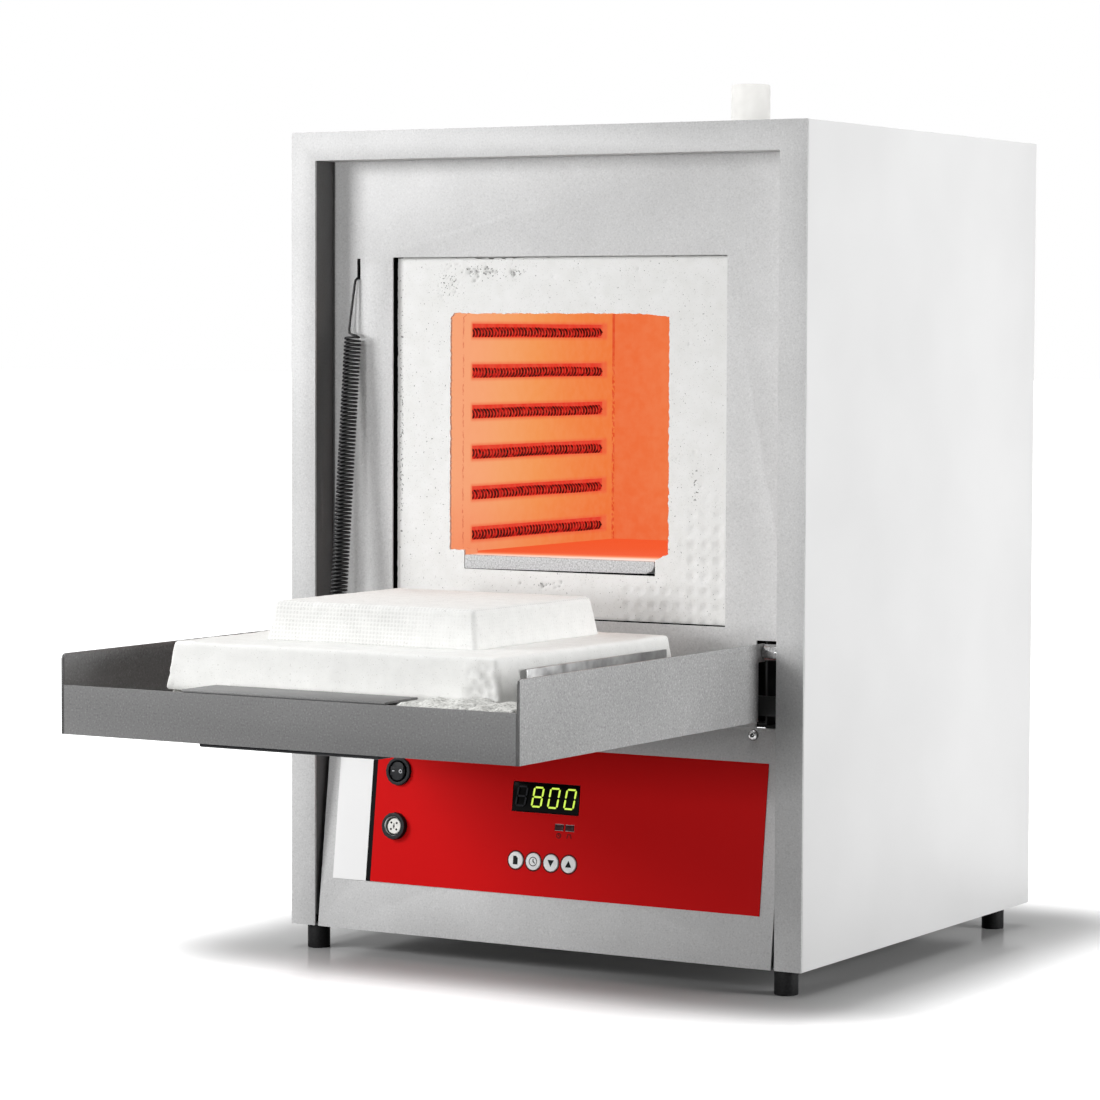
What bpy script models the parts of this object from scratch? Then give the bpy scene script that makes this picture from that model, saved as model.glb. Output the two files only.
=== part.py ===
"""Laboratory chamber furnace with a drop-down door, shown open and level.

Every place is written in the cabinet's own frame: X to the right, Y to the back from the front
face, Z up from the cabinet's lower edge. The empty cabinet_origin carries that frame, so that the
world's origin lies on the bench, under the middle of the whole furnace.
"""
import math

import bmesh
import bpy
from mathutils import Matrix, Vector

# Clearances, the shared overrun of every cut, and how near two points are one
GAP = 0.0003
OVER = 0.004
BORE_EASE = 0.0003
MERGE_WITHIN = 0.00001

# Cabinet
CASE_W = 0.375
CASE_H = 0.518
CASE_D = 0.345
CASE_T = 0.0012
FRAME_T = 0.0015
STILE_W = 0.0185
RAIL_H = 0.0185
RECESS_DEPTH = 0.021
BASE_UPSTAND = 0.012
BASE_SETBACK = 0.0034
BACK_INSET = 0.0015

# Feet, each with its stud and nut
FOOT_H = 0.0155
FOOT_R = 0.0075
FOOT_INSET_X = 0.015
FOOT_FRONT_Y = 0.010
FOOT_REAR_INSET = 0.026
FOOT_BOLT_R = 0.0022
FOOT_NUT_R = 0.0045
FOOT_NUT_H = 0.004

# Inner front panel, its window, the spring slot and the lower corner notches
PANEL_LAP = 0.006
WINDOW_SIDE = 0.0465
WINDOW_LOW = 0.2073
WINDOW_ABOVE = 0.0625
BOARD_SETBACK = 0.0033
BOARD_STEP = 0.0080
BOARD_EDGE_GAP = 0.0005
SPRING_SIDE = 0.020
SLOT_W = 0.0024
SLOT_ABOVE = 0.0631
SLOT_H = 0.0135
NOTCH_W = 0.0157
NOTCH_H = 0.054

# Sloped control panel
SLOPE_H = 0.146
SLOPE_BACK = 0.0178
SLOPE_EDGE_GAP = 0.0024
FILM_SIDE = 0.012
FILM_LOW = 0.0322
FILM_H = 0.0937
FILM_T = 0.0004

# Things on the control panel: x, height up the slope, size
DISPLAY_X = 0.0004
DISPLAY_UP = 0.09445
DISPLAY_W = 0.0488
DISPLAY_H = 0.0187
DISPLAY_PROUD = 0.0009
MODULE_SIDE = 0.006
MODULE_UNDER = 0.005
MODULE_DEPTH = 0.050
LAMP_XS = (0.0115, 0.0191)
LAMP_NAMES = ("lamp_left", "lamp_right")
LAMP_UP = 0.0767
LAMP_W = 0.0061
LAMP_H = 0.0036
LAMP_PROUD = 0.001
KEY_FIRST_X = -0.0188
KEY_PITCH = 0.013
KEY_UP = 0.0539
KEY_R = 0.00545
KEY_PROUD = 0.0009
KEY_CAP_DEPTH = 0.0012
KEY_STEM_R = 0.0015
KEY_TRAVEL = 0.0004
KEY_NAMES = ("key_page", "key_clock", "key_down", "key_up")
BOARD_W = 0.070
BOARD_H = 0.036
BOARD_UP = 0.0575
BOARD_T = 0.0016
BOARD_DEPTH = 0.0074
BOARD_FRAME_W = 0.004
SWITCH_SIDE = 0.046
SWITCH_UP = 0.1048
SWITCH_RIM_R = 0.0094
SWITCH_RIM_H = 0.0019
SWITCH_BODY_R = 0.0079
SWITCH_BODY_DEPTH = 0.018
SWITCH_WELL_R = 0.0072
SWITCH_WELL_DEPTH = 0.008
ROCKER_HALF_W = 0.0056
ROCKER_HALF_H = 0.0031
ROCKER_PIVOT_DEPTH = 0.0015
ROCKER_CROWN = 0.0040
ROCKER_END_RISE = 0.0006
ROCKER_KEEL = 0.0028
ROCKER_TILT = math.radians(8)
SOCKET_UP = 0.0692
SOCKET_RIM_R = 0.0090
SOCKET_RIM_H = 0.0034
SOCKET_BODY_R = 0.0075
SOCKET_BODY_DEPTH = 0.014
SOCKET_BORE_R = 0.0064
SOCKET_BORE_DEPTH = 0.006
SOCKET_INSERT_H = 0.0072
PANEL_SCREW_SIDE = 0.024
PANEL_SCREW_DROP = 0.00325
SCREW_HEAD_R = 0.003
SCREW_HEAD_H = 0.002
SCREW_R = 0.0015
SCREW_LENGTH = 0.0026
SCREW_CROWN_share = 0.6

# Bridge over the electronics, and the hot box that stands on it
BRIDGE_OVER_SLOPE = 0.0015
BRIDGE_INSET = 0.0030
BOX_SIDE = 0.0375
BOX_ABOVE = 0.026
MOUTH_W = 0.160
MOUTH_LOW = 0.249
MOUTH_ABOVE = 0.004
THROAT_T = 0.0165
CHAMBER_W = 0.176
CHAMBER_TO_REAR = 0.093
CHAMBER_ABOVE = 0.087
BACK_BOARD_T = 0.066
TILE_W = 0.140
TILE_TOP = 0.2455
TILE_T = 0.0085
TILE_BACK_GAP = 0.002
STEEL_T = 0.0012
SHELL_REAR_LAP = 0.003

# Heater elements: pairs of coiled rows in a groove each, on both side walls
ROW_ABOVE = 0.016
ROW_LOW = 0.2555
ROW_PITCH = 0.0266
ROW_START = 0.064
ROW_END_GAP = 0.013
COIL_R = 0.0032
GROOVE_H = 0.0090
GROOVE_DEPTH = 0.0085
TAIL_R = 0.0015
TAIL_BORE_R = 0.0020
TAIL_REACH = 0.016
COIL_TAPER = 0.002
LINK_REACH = 0.003
LINK_COVER = 0.003
TERMINAL_SIDE = 0.016
TERMINAL_T = 0.011

# Flue, chimney and thermocouple
CHIMNEY_BEHIND = 0.033
CHIMNEY_R = 0.0135
CHIMNEY_BORE_R = 0.0095
CHIMNEY_OUT = 0.042
CHIMNEY_SEAT_DEPTH = 0.009
FLUE_DEPTH = 0.021
FLUE_R = 0.008
PROBE_DEPTH = 0.070
PROBE_R = 0.003
PROBE_REACH = 0.014
PROBE_HEAD_W = 0.024
PROBE_HEAD_H = 0.020
PROBE_HEAD_T = 0.014

# Electrical pieces on the base and the back panel
SINK_X = 0.080
SINK_TO_REAR = 0.120
SINK_W = 0.064
SINK_L = 0.080
SINK_H = 0.028
SINK_PLATE_T = 0.005
SINK_FIN_T = 0.0022
SINK_FIN_COUNT = 7
RELAY_W = 0.044
RELAY_L = 0.058
RELAY_H = 0.024
GLAND_SIDE = 0.0475
GLAND_Z = 0.050
GLAND_R = 0.011
GLAND_BORE_R = 0.0042
GLAND_OUT = 0.018
GLAND_IN = 0.012
GLAND_THREAD_R = 0.008
GLAND_END_share = 0.7
FUSE_SIDE = 0.0875
FUSE_R = 0.0075
FUSE_OUT = 0.008
FUSE_IN = 0.026
FUSE_BODY_R = 0.006
VENT_COLUMNS = 2
VENT_ROWS = 5
VENT_W = 0.060
VENT_H = 0.004
VENT_PITCH_X = 0.090
VENT_PITCH_Z = 0.011
VENT_LOW_Z = 0.085
VENT_ABOVE = 0.063
BASE_VENT_Y = 0.110
BASE_VENT_PITCH = 0.016

# Door, measured open and level
BLANKET_T = 0.0245
BLANKET_SIDE_GAP = 0.0040
BLANKET_REAR = -0.020
BLANKET_NOTCH_W = 0.0135
BLANKET_NOTCH_FRONT = -0.105
DOOR_SIDE = 0.012
DOOR_T = 0.0015
DOOR_UNDER = 0.152
DOOR_FRONT = -0.283
DOOR_REAR = 0.0
FRONT_FLANGE_H = 0.0290
FLANGE_CORNER = 0.003
CORNER_ROUND_share = 0.3
PIVOT_Y = 0.008
PIVOT_Z = 0.194
EAR_R = 0.0055
PIVOT_HOLE_R = 0.0033
PIVOT_BOLT_R = 0.0030
PIVOT_HEAD_R = 0.0048
PIVOT_HEAD_T = 0.0034
PIVOT_NUT_T = 0.0040
SHOULDER_R = 0.0052
STOP_T = 0.003
STOP_H = 0.012
STOP_Z = 0.156
STOP_REACH = 0.019
SLAB_SIDE = 0.0065
SLAB_FRONT = -0.237
SLAB_REAR = -0.028
SLAB_TOP = 0.2055
SLAB_TAPER = 0.0035
PLUG_SIDE = 0.0055
PLUG_FRONT = -0.1935
PLUG_REAR = -0.0495
PLUG_TOP = 0.2290
PLUG_TAPER = 0.0038
BLOCK_EDGE_R = 0.0025
ANGLE_T = 0.0015
ANGLE_FOOT = 0.014
ANGLE_TOP = 0.198
ANGLE_FRONT = -0.209
ANGLE_REAR = -0.045
ANGLE_SIDE_GAP = 0.0005
CLIP_HALF_W = 0.070
CLIP_REACH = 0.034
CLIP_DROP = 0.020
PULL_HALF_W = 0.0625
PULL_FRONT = -0.277
PULL_W = 0.014
PULL_H = 0.0045
PULL_EDGE = 0.0015

# Door spring, hooked in the slot and held by a stud on the left flange
WIRE_R = 0.00075
SPRING_R = 0.00435
SPRING_CURLS = 58
CURL_POINTS = 8
COIL_TOP_Y = 0.014
COIL_ABOVE = 0.0376
HOOK_Y = 0.0180
HOOK_DROP = 0.0045
STUD_Y = -0.007
STUD_Z = 0.170
STUD_R = 0.0025
STUD_NECK = 0.0085
STUD_HEAD_R = 0.0040
STUD_HEAD_T = 0.002
EYE_R = 0.0036
EYE_NECK = 0.0110
EYE_POINTS = 9
EYE_TURN = math.radians(285)

# Roundness: sides of small, middling and large round pieces, and the angle that still looks round
SMALL_SIDES = 10
ROUND_SIDES = 16
LARGE_SIDES = 24
SMOOTH_UNDER = math.radians(35)

# Places that follow from the sizes above
HALF_W = CASE_W / 2
INNER_HALF_W = HALF_W - CASE_T - GAP
OPENING_HALF_W = HALF_W - STILE_W
OPENING_TOP = CASE_H - RAIL_H
WINDOW_W = 2 * (OPENING_HALF_W - WINDOW_SIDE)
WINDOW_H = OPENING_TOP - WINDOW_ABOVE - WINDOW_LOW
SPRING_X = SPRING_SIDE - OPENING_HALF_W
SLOT_LOW = OPENING_TOP - SLOT_ABOVE - SLOT_H
COIL_TOP_Z = SLOT_LOW - COIL_ABOVE
FILM_W = 2 * (OPENING_HALF_W - FILM_SIDE)
SWITCH_X = SWITCH_SIDE - FILM_W / 2
PANEL_SCREW_X = OPENING_HALF_W - PANEL_SCREW_SIDE
DOOR_HALF_W = OPENING_HALF_W - DOOR_SIDE
SLAB_HALF_W = WINDOW_W / 2 - SLAB_SIDE
PLUG_HALF_W = MOUTH_W / 2 - PLUG_SIDE
BOX_HALF_W = HALF_W - BOX_SIDE
BOX_TOP = CASE_H - BOX_ABOVE
CHAMBER_TOP = BOX_TOP - CHAMBER_ABOVE
MOUTH_H = CHAMBER_TOP - MOUTH_ABOVE - MOUTH_LOW
ROW_TOP = CHAMBER_TOP - ROW_ABOVE
ROW_COUNT = 2 * math.floor((ROW_TOP - ROW_LOW + ROW_PITCH) / (2 * ROW_PITCH))
CHIMNEY_TOP = CASE_H + CHIMNEY_OUT
CHAMBER_BACK = CASE_D - CHAMBER_TO_REAR
CHIMNEY_Y = CHAMBER_BACK + CHIMNEY_BEHIND
ROW_END = CHAMBER_BACK - ROW_END_GAP
SINK_Y = CASE_D - SINK_TO_REAR
FOOT_REAR_Y = CASE_D - FOOT_REAR_INSET
PANEL_SCREW_UP = SLOPE_H - PANEL_SCREW_DROP
BRIDGE_TOP = SLOPE_H + BRIDGE_OVER_SLOPE
CHIMNEY_SEAT = CHAMBER_TOP - CHIMNEY_SEAT_DEPTH
FLUE_Z = CHAMBER_TOP - FLUE_DEPTH
PROBE_Z = CHAMBER_TOP - PROBE_DEPTH
GLAND_X = GLAND_SIDE - HALF_W
FUSE_X = FUSE_SIDE - HALF_W
VENT_HIGH_Z = CASE_H - VENT_ABOVE
RETURN_BACK = RECESS_DEPTH - GAP
PANEL_BACK = RECESS_DEPTH + CASE_T
BOARD_FRONT = PANEL_BACK + BOARD_SETBACK
THROAT_BACK = BOARD_FRONT + THROAT_T
WALL_FRONT = THROAT_BACK + GAP
CHAMBER_HALF_W = CHAMBER_W / 2
BOX_LOW = BRIDGE_TOP + GAP + STEEL_T + GAP
TILE_LOW = TILE_TOP - TILE_T
FLOOR_TOP = TILE_LOW - GAP
BACK_BOARD_FRONT = CHAMBER_BACK + GAP
BACK_BOARD_BACK = BACK_BOARD_FRONT + BACK_BOARD_T
INNER_PLATE_FRONT = BACK_BOARD_BACK + GAP
INNER_PLATE_BACK = INNER_PLATE_FRONT + STEEL_T
BACK_PANEL_BACK = CASE_D - BACK_INSET
BACK_PANEL_FRONT = BACK_PANEL_BACK - CASE_T
BASE_BACK = BACK_PANEL_FRONT - GAP
SLOPE = math.atan2(SLOPE_BACK, SLOPE_H)
FILM_UNDER = GAP
FILM_FACE = FILM_UNDER + FILM_T
COIL_X = CHAMBER_HALF_W + GROOVE_DEPTH - GAP - COIL_R
DOOR_FLOOR = DOOR_UNDER + DOOR_T
DOOR_INNER_HALF_W = DOOR_HALF_W - DOOR_T
CLIP_LEG_FRONT = DOOR_FRONT + DOOR_T + GAP
BLANKET_FRONT = CLIP_LEG_FRONT + DOOR_T + GAP
FLANGE_TOP = PIVOT_Z + EAR_R
FRONT_FLANGE_TOP = DOOR_UNDER + FRONT_FLANGE_H
REAR_REACH = BACK_PANEL_BACK + GLAND_OUT
MIDDLE_Y = (DOOR_FRONT + REAR_REACH) / 2

# Finishes: colour, roughness, metallic
FINISHES = {
    "silver_paint": ("C9CACB", 0.55, 0.2),
    "white_paint": ("EDEDED", 0.45, 0.0),
    "door_paint": ("9C9D9E", 0.5, 0.3),
    "zinc_plate": ("B5B7B8", 0.4, 0.9),
    "bright_steel": ("C4C6C8", 0.2, 1.0),
    "spring_black": ("17181A", 0.4, 0.7),
    "board_white": ("F2F1EE", 0.95, 0.0),
    "glowing_board": ("F58F55", 0.9, 0.0),
    "hearth_grey": ("C9C9C7", 0.9, 0.0),
    "heater_wire": ("5A1414", 0.6, 0.4),
    "white_ceramic": ("ECEAE6", 0.5, 0.0),
    "red_film": ("C5181B", 0.35, 0.0),
    "dark_window": ("0B0E0A", 0.1, 0.0),
    "lamp_dark": ("3A0E0E", 0.25, 0.0),
    "key_white": ("F0F0F0", 0.4, 0.0),
    "black_plastic": ("18181A", 0.45, 0.0),
    "circuit_green": ("1F5B35", 0.5, 0.0),
    "insert_white": ("E8E6E0", 0.5, 0.0),
    "rubber": ("131313", 0.8, 0.0),
}

materials = {}
drawn = []


def linear(channel):
    """One sRGB channel, 0 to 1, as a linear value."""
    if channel <= 0.04045:
        return channel / 12.92
    return ((channel + 0.055) / 1.055) ** 2.4


def finish(name):
    """The material of that finish, made the first time it is asked for."""
    if name not in materials:
        colour, roughness, metallic = FINISHES[name]
        channels = [linear(int(colour[i:i + 2], 16) / 255) for i in (0, 2, 4)]
        material = bpy.data.materials.new(name)
        material.use_nodes = True
        shader = material.node_tree.nodes["Principled BSDF"]
        shader.inputs["Base Color"].default_value = (*channels, 1.0)
        shader.inputs["Roughness"].default_value = roughness
        shader.inputs["Metallic"].default_value = metallic
        materials[name] = material
    return materials[name]


def clear_scene():
    """Removes what is in the scene, and makes the two collections."""
    for obj in list(bpy.data.objects):
        bpy.data.objects.remove(obj, do_unlink=True)
    parts = bpy.data.collections.new("chamber_furnace")
    cutters = bpy.data.collections.new("cutters")
    for collection in (parts, cutters):
        bpy.context.scene.collection.children.link(collection)
    return parts, cutters


def make_empty(name, place, parent=None, turn=(0, 0, 0)):
    """An empty that carries a frame."""
    empty = bpy.data.objects.new(name, None)
    empty.location = place
    empty.rotation_euler = turn
    empty.parent = parent
    PARTS.objects.link(empty)
    return empty


def make_object(name, data, carrier, place, material, collection=None):
    """An object whose place is given in the cabinet's frame, or in the slope's, under its carrier."""
    obj = bpy.data.objects.new(name, data)
    obj.parent = carrier.empty
    obj.location = Vector(place) - carrier.at
    (collection or PARTS).objects.link(obj)
    if material:
        data.materials.append(finish(material))
        drawn.append(obj)
    else:
        obj.hide_render = True
        obj.display_type = "WIRE"
    return obj


class Carrier:
    """An empty, with its place in the frame that its pieces are written in."""

    def __init__(self, empty, at=(0, 0, 0)):
        self.empty = empty
        self.at = Vector(at)


def mesh_from(bm, name):
    mesh = bpy.data.meshes.new(name)
    bm.to_mesh(mesh)
    bm.free()
    return mesh


def add_box(bm, low, high):
    """Adds a box between two corners, and gives its vertices."""
    size = [b - a for a, b in zip(low, high)]
    middle = [(a + b) / 2 for a, b in zip(low, high)]
    made = bmesh.ops.create_cube(bm, size=1.0)
    bmesh.ops.scale(bm, vec=size, verts=made["verts"])
    bmesh.ops.translate(bm, vec=middle, verts=made["verts"])
    return made["verts"]


def boxes_mesh(name, corners, centre):
    """One mesh of separate boxes, about that centre."""
    bm = bmesh.new()
    for low, high in corners:
        low_here = [a - c for a, c in zip(low, centre)]
        high_here = [a - c for a, c in zip(high, centre)]
        add_box(bm, low_here, high_here)
    return mesh_from(bm, name)


def boxes(name, corners, material, carrier, collection=None):
    """Boxes as one object, with its origin at the middle of the first box."""
    low, high = corners[0]
    centre = [(a + b) / 2 for a, b in zip(low, high)]
    mesh = boxes_mesh(name, corners, centre)
    return make_object(name, mesh, carrier, centre, material, collection)


def box(name, low, high, material, carrier, bevel=None):
    obj = boxes(name, [(low, high)], material, carrier)
    if bevel:
        round_edges(obj, bevel)
    return obj


def round_edges(obj, width):
    modifier = obj.modifiers.new("edges", "BEVEL")
    modifier.width = width
    modifier.segments = 2
    modifier.limit_method = "ANGLE"


def turned(name, profile, place, material, carrier, axis="Z", sides=ROUND_SIDES):
    """A turned piece. The profile runs down its outer side, as (radius, height) pairs from top to foot."""
    mesh = turned_mesh(name, profile, axis, sides, [(0, 0, 0)])
    return make_object(name, mesh, carrier, place, material)


def turned_mesh(name, profile, axis, sides, spots):
    """The profile's mesh spun about its axis, once at each spot."""
    bm = bmesh.new()
    for spot in spots:
        turn_matrix = Matrix.Translation(spot) @ axis_matrix(axis)
        line = [bm.verts.new((radius, 0, height)) for radius, height in profile]
        edges = [bm.edges.new(pair) for pair in zip(line, line[1:])]
        bmesh.ops.spin(bm, geom=line + edges, cent=(0, 0, 0), axis=(0, 0, 1),
                       angle=math.tau, steps=sides, use_merge=True)
        fresh = [v for v in bm.verts if not v.tag]
        bmesh.ops.remove_doubles(bm, verts=fresh, dist=MERGE_WITHIN)
        fresh = [v for v in bm.verts if not v.tag]
        bmesh.ops.transform(bm, matrix=turn_matrix, verts=fresh)
        for vertex in fresh:
            vertex.tag = True
    bmesh.ops.recalc_face_normals(bm, faces=bm.faces)
    mesh = mesh_from(bm, name)
    mesh.shade_smooth()
    mesh.set_sharp_from_angle(angle=SMOOTH_UNDER)
    return mesh


def axis_matrix(axis):
    """Turns +Z to the named axis."""
    turns = {
        "Z": Matrix.Identity(4),
        "-Z": Matrix.Rotation(math.pi, 4, "X"),
        "Y": Matrix.Rotation(-math.pi / 2, 4, "X"),
        "X": Matrix.Rotation(math.pi / 2, 4, "Y"),
        "-X": Matrix.Rotation(-math.pi / 2, 4, "Y"),
    }
    return turns[axis]


def solid_rod(radius, low, high):
    """The profile of a plain rod between two heights."""
    return [(0, high), (radius, high), (radius, low), (0, low)]


def ring(outer, inner, low, high):
    """The profile of a tube: down the outer side, then up the bore."""
    return [(outer, high), (outer, low), (inner, low), (inner, high), (outer, high)]


def sheet(name, corners, along, start, stop, thickness, side, material, carrier):
    """A folded sheet: an open line of corners swept along one axis, then given its thickness.

    The corners are pairs in the two other axes, in X, Y, Z order. side is 1 or -1.
    """
    bm = bmesh.new()
    order = {"X": (1, 2, 0), "Y": (0, 2, 1), "Z": (0, 1, 2)}[along]
    line = []
    for first, second in corners:
        point = [0, 0, 0]
        point[order[0]] = first
        point[order[1]] = second
        point[order[2]] = start
        line.append(bm.verts.new(point))
    edges = [bm.edges.new(pair) for pair in zip(line, line[1:])]
    made = bmesh.ops.extrude_edge_only(bm, edges=edges)
    moved = [item for item in made["geom"] if isinstance(item, bmesh.types.BMVert)]
    way = [0, 0, 0]
    way[order[2]] = stop - start
    bmesh.ops.translate(bm, vec=way, verts=moved)
    obj = make_object(name, mesh_from(bm, name), carrier, (0, 0, 0), material)
    shell = obj.modifiers.new("thickness", "SOLIDIFY")
    shell.thickness = thickness
    shell.offset = side
    shell.use_even_offset = True
    return obj


def outline(name, points, along, low, high, material, carrier):
    """A flat outline with its thickness from low to high along one axis."""
    curve = bpy.data.curves.new(name, "CURVE")
    curve.dimensions = "2D"
    curve.fill_mode = "BOTH"
    curve.extrude = (high - low) / 2
    spline = curve.splines.new("POLY")
    spline.points.add(len(points) - 1)
    for point, (first, second) in zip(spline.points, points):
        point.co = (first, second, 0, 1)
    spline.use_cyclic_u = True
    temporary = bpy.data.objects.new(name + "_curve", curve)
    bpy.context.scene.collection.objects.link(temporary)
    bpy.context.view_layer.update()
    graph = bpy.context.evaluated_depsgraph_get()
    mesh = bpy.data.meshes.new_from_object(temporary.evaluated_get(graph))
    bpy.data.objects.remove(temporary)
    bm = bmesh.new()
    bm.from_mesh(mesh)
    bmesh.ops.remove_doubles(bm, verts=bm.verts, dist=MERGE_WITHIN)
    middle = (low + high) / 2
    if along == "X":
        matrix = Matrix(((0, 0, 1, middle), (1, 0, 0, 0), (0, 1, 0, 0), (0, 0, 0, 1)))
    else:
        matrix = Matrix(((1, 0, 0, 0), (0, 0, -1, middle), (0, 1, 0, 0), (0, 0, 0, 1)))
    bmesh.ops.transform(bm, matrix=matrix, verts=bm.verts)
    bmesh.ops.recalc_face_normals(bm, faces=bm.faces)
    return make_object(name, mesh_from(bm, name), carrier, (0, 0, 0), material)


def as_cutter(obj):
    """Moves an object to the cutters, out of the render."""
    PARTS.objects.unlink(obj)
    CUTTERS.objects.link(obj)
    obj.hide_render = True
    obj.display_type = "WIRE"
    if obj in drawn:
        drawn.remove(obj)
    return obj


def combine(obj, tool, operation):
    modifier = obj.modifiers.new(operation.lower(), "BOOLEAN")
    modifier.operation = operation
    modifier.object = tool
    modifier.solver = "EXACT"
    return obj


def cut_boxes(obj, corners, carrier):
    """Cuts boxes, which don't meet each other, out of an object."""
    tool = as_cutter(boxes(obj.name + "_cut", corners, None, carrier))
    return combine(obj, tool, "DIFFERENCE")


def cut_round(obj, radius, spots, axis, low, high, carrier, sides=ROUND_SIDES):
    """Cuts round holes that run along one axis from low to high, one at each spot."""
    mesh = turned_mesh(obj.name + "_bore", solid_rod(radius, low, high), axis, sides, spots)
    tool = as_cutter(make_object(obj.name + "_bore", mesh, carrier, (0, 0, 0), None))
    return combine(obj, tool, "DIFFERENCE")


def mirrored(points):
    """Each place and its mirror image across the cabinet's middle."""
    return [(side * x, y, z) for x, y, z in points for side in (-1, 1)]


def join_box(obj, low, high, carrier):
    tool = as_cutter(boxes(obj.name + "_join", [(low, high)], None, carrier))
    return combine(obj, tool, "UNION")


def make_casing(cabinet):
    """Base tray, wrap, front frame, back panel and inner front panel."""
    tray = sheet("base_tray", [(-INNER_HALF_W, BASE_UPSTAND), (-INNER_HALF_W, 0), (INNER_HALF_W, 0),
                               (INNER_HALF_W, BASE_UPSTAND)],
                 "Y", BASE_SETBACK, BASE_BACK, CASE_T, -1, "zinc_plate", cabinet)
    cut_round(tray, FOOT_BOLT_R + BORE_EASE, foot_spots(), "Z", -OVER, OVER, cabinet, SMALL_SIDES)
    vents = []
    for row in range(VENT_ROWS):
        y = BASE_VENT_Y + row * BASE_VENT_PITCH
        vents.append(((-VENT_W, y - VENT_H / 2, -OVER), (VENT_W, y + VENT_H / 2, OVER)))
    cut_boxes(tray, vents, cabinet)

    case_front = FRAME_T + GAP
    case = sheet("outer_case", [(-HALF_W, 0), (-HALF_W, CASE_H), (HALF_W, CASE_H), (HALF_W, 0)],
                 "Y", case_front, CASE_D, CASE_T, 1, "white_paint", cabinet)
    cut_round(case, CHIMNEY_R + BORE_EASE, [(0, CHIMNEY_Y, CASE_H)], "Z", -OVER, OVER, cabinet)

    frame = box("front_frame", (-HALF_W, 0, 0), (HALF_W, FRAME_T, CASE_H), "silver_paint", cabinet)
    cut_boxes(frame, [((-OPENING_HALF_W, -OVER, -OVER), (OPENING_HALF_W, OVER, OPENING_TOP))], cabinet)
    relief = CASE_T + GAP + FOOT_NUT_H + FRAME_T
    returns = sheet("front_returns", [(-OPENING_HALF_W, relief), (-OPENING_HALF_W, OPENING_TOP),
                                      (OPENING_HALF_W, OPENING_TOP), (OPENING_HALF_W, relief)],
                    "Y", FRAME_T / 2, RETURN_BACK, FRAME_T, -1, None, cabinet)
    combine(frame, as_cutter(returns), "UNION")
    stop_front = DOOR_REAR + GAP
    for side in (-1, 1):
        low_x, high_x = sorted((side * (OPENING_HALF_W + FRAME_T / 2), side * (OPENING_HALF_W - STOP_REACH)))
        join_box(frame, (low_x, stop_front, STOP_Z), (high_x, stop_front + STOP_T, STOP_Z + STOP_H), cabinet)
    hole_spots = mirrored([(OPENING_HALF_W, PIVOT_Y, PIVOT_Z)])
    cut_round(frame, PIVOT_HOLE_R, hole_spots, "X", -OVER, OVER, cabinet, SMALL_SIDES)

    panel_low = SLOPE_H - PANEL_LAP
    panel_top = CASE_H - CASE_T - GAP
    panel = box("inner_front_panel", (-INNER_HALF_W, RECESS_DEPTH, panel_low),
                (INNER_HALF_W, PANEL_BACK, panel_top), "silver_paint", cabinet)
    window_top = WINDOW_LOW + WINDOW_H
    half_window = WINDOW_W / 2
    notch_out = OPENING_HALF_W
    notch_in = OPENING_HALF_W - NOTCH_W
    front = RECESS_DEPTH - OVER
    back = BOARD_FRONT + OVER
    notch_top = SLOPE_H + NOTCH_H
    cut_boxes(panel, [
        ((-half_window, front, WINDOW_LOW), (half_window, back, window_top)),
        ((SPRING_X - SLOT_W / 2, front, SLOT_LOW), (SPRING_X + SLOT_W / 2, back, SLOT_LOW + SLOT_H)),
        ((-notch_out, front, SLOPE_H), (-notch_in, back, notch_top)),
        ((notch_in, front, SLOPE_H), (notch_out, back, notch_top)),
    ], cabinet)

    back_panel = box("back_panel", (-INNER_HALF_W, BACK_PANEL_FRONT, CASE_T + GAP),
                     (INNER_HALF_W, BACK_PANEL_BACK, panel_top), "zinc_plate", cabinet)
    slots = []
    for low_z in (VENT_LOW_Z, VENT_HIGH_Z):
        for column in range(VENT_COLUMNS):
            x = (column - (VENT_COLUMNS - 1) / 2) * VENT_PITCH_X
            for row in range(VENT_ROWS):
                z = low_z + row * VENT_PITCH_Z
                slots.append(((x - VENT_W / 2, BACK_PANEL_FRONT - OVER, z),
                              (x + VENT_W / 2, BACK_PANEL_BACK + OVER, z + VENT_H)))
    cut_boxes(back_panel, slots, cabinet)
    for x, radius in ((GLAND_X, GLAND_THREAD_R), (FUSE_X, FUSE_BODY_R)):
        cut_round(back_panel, radius + BORE_EASE, [(x, BACK_PANEL_BACK, GLAND_Z)], "Y", -OVER, OVER, cabinet)


def foot_spots():
    """The places of the four feet, at the height of the cabinet's lower edge."""
    x = HALF_W - FOOT_INSET_X
    return mirrored([(x, FOOT_FRONT_Y, 0), (x, FOOT_REAR_Y, 0)])


def make_feet(cabinet):
    names = ("foot_front_left", "foot_front_right", "foot_rear_left", "foot_rear_right")
    nut_low = CASE_T + GAP
    nut_high = nut_low + FOOT_NUT_H
    profile = [(0, nut_high), (FOOT_NUT_R, nut_high), (FOOT_NUT_R, nut_low), (FOOT_BOLT_R, nut_low),
               (FOOT_BOLT_R, -GAP), (FOOT_R, -GAP), (FOOT_R, -FOOT_H + GAP), (FOOT_R - GAP, -FOOT_H),
               (0, -FOOT_H)]
    for name, spot in zip(names, foot_spots()):
        turned(name, profile, spot, "rubber", cabinet)


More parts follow.
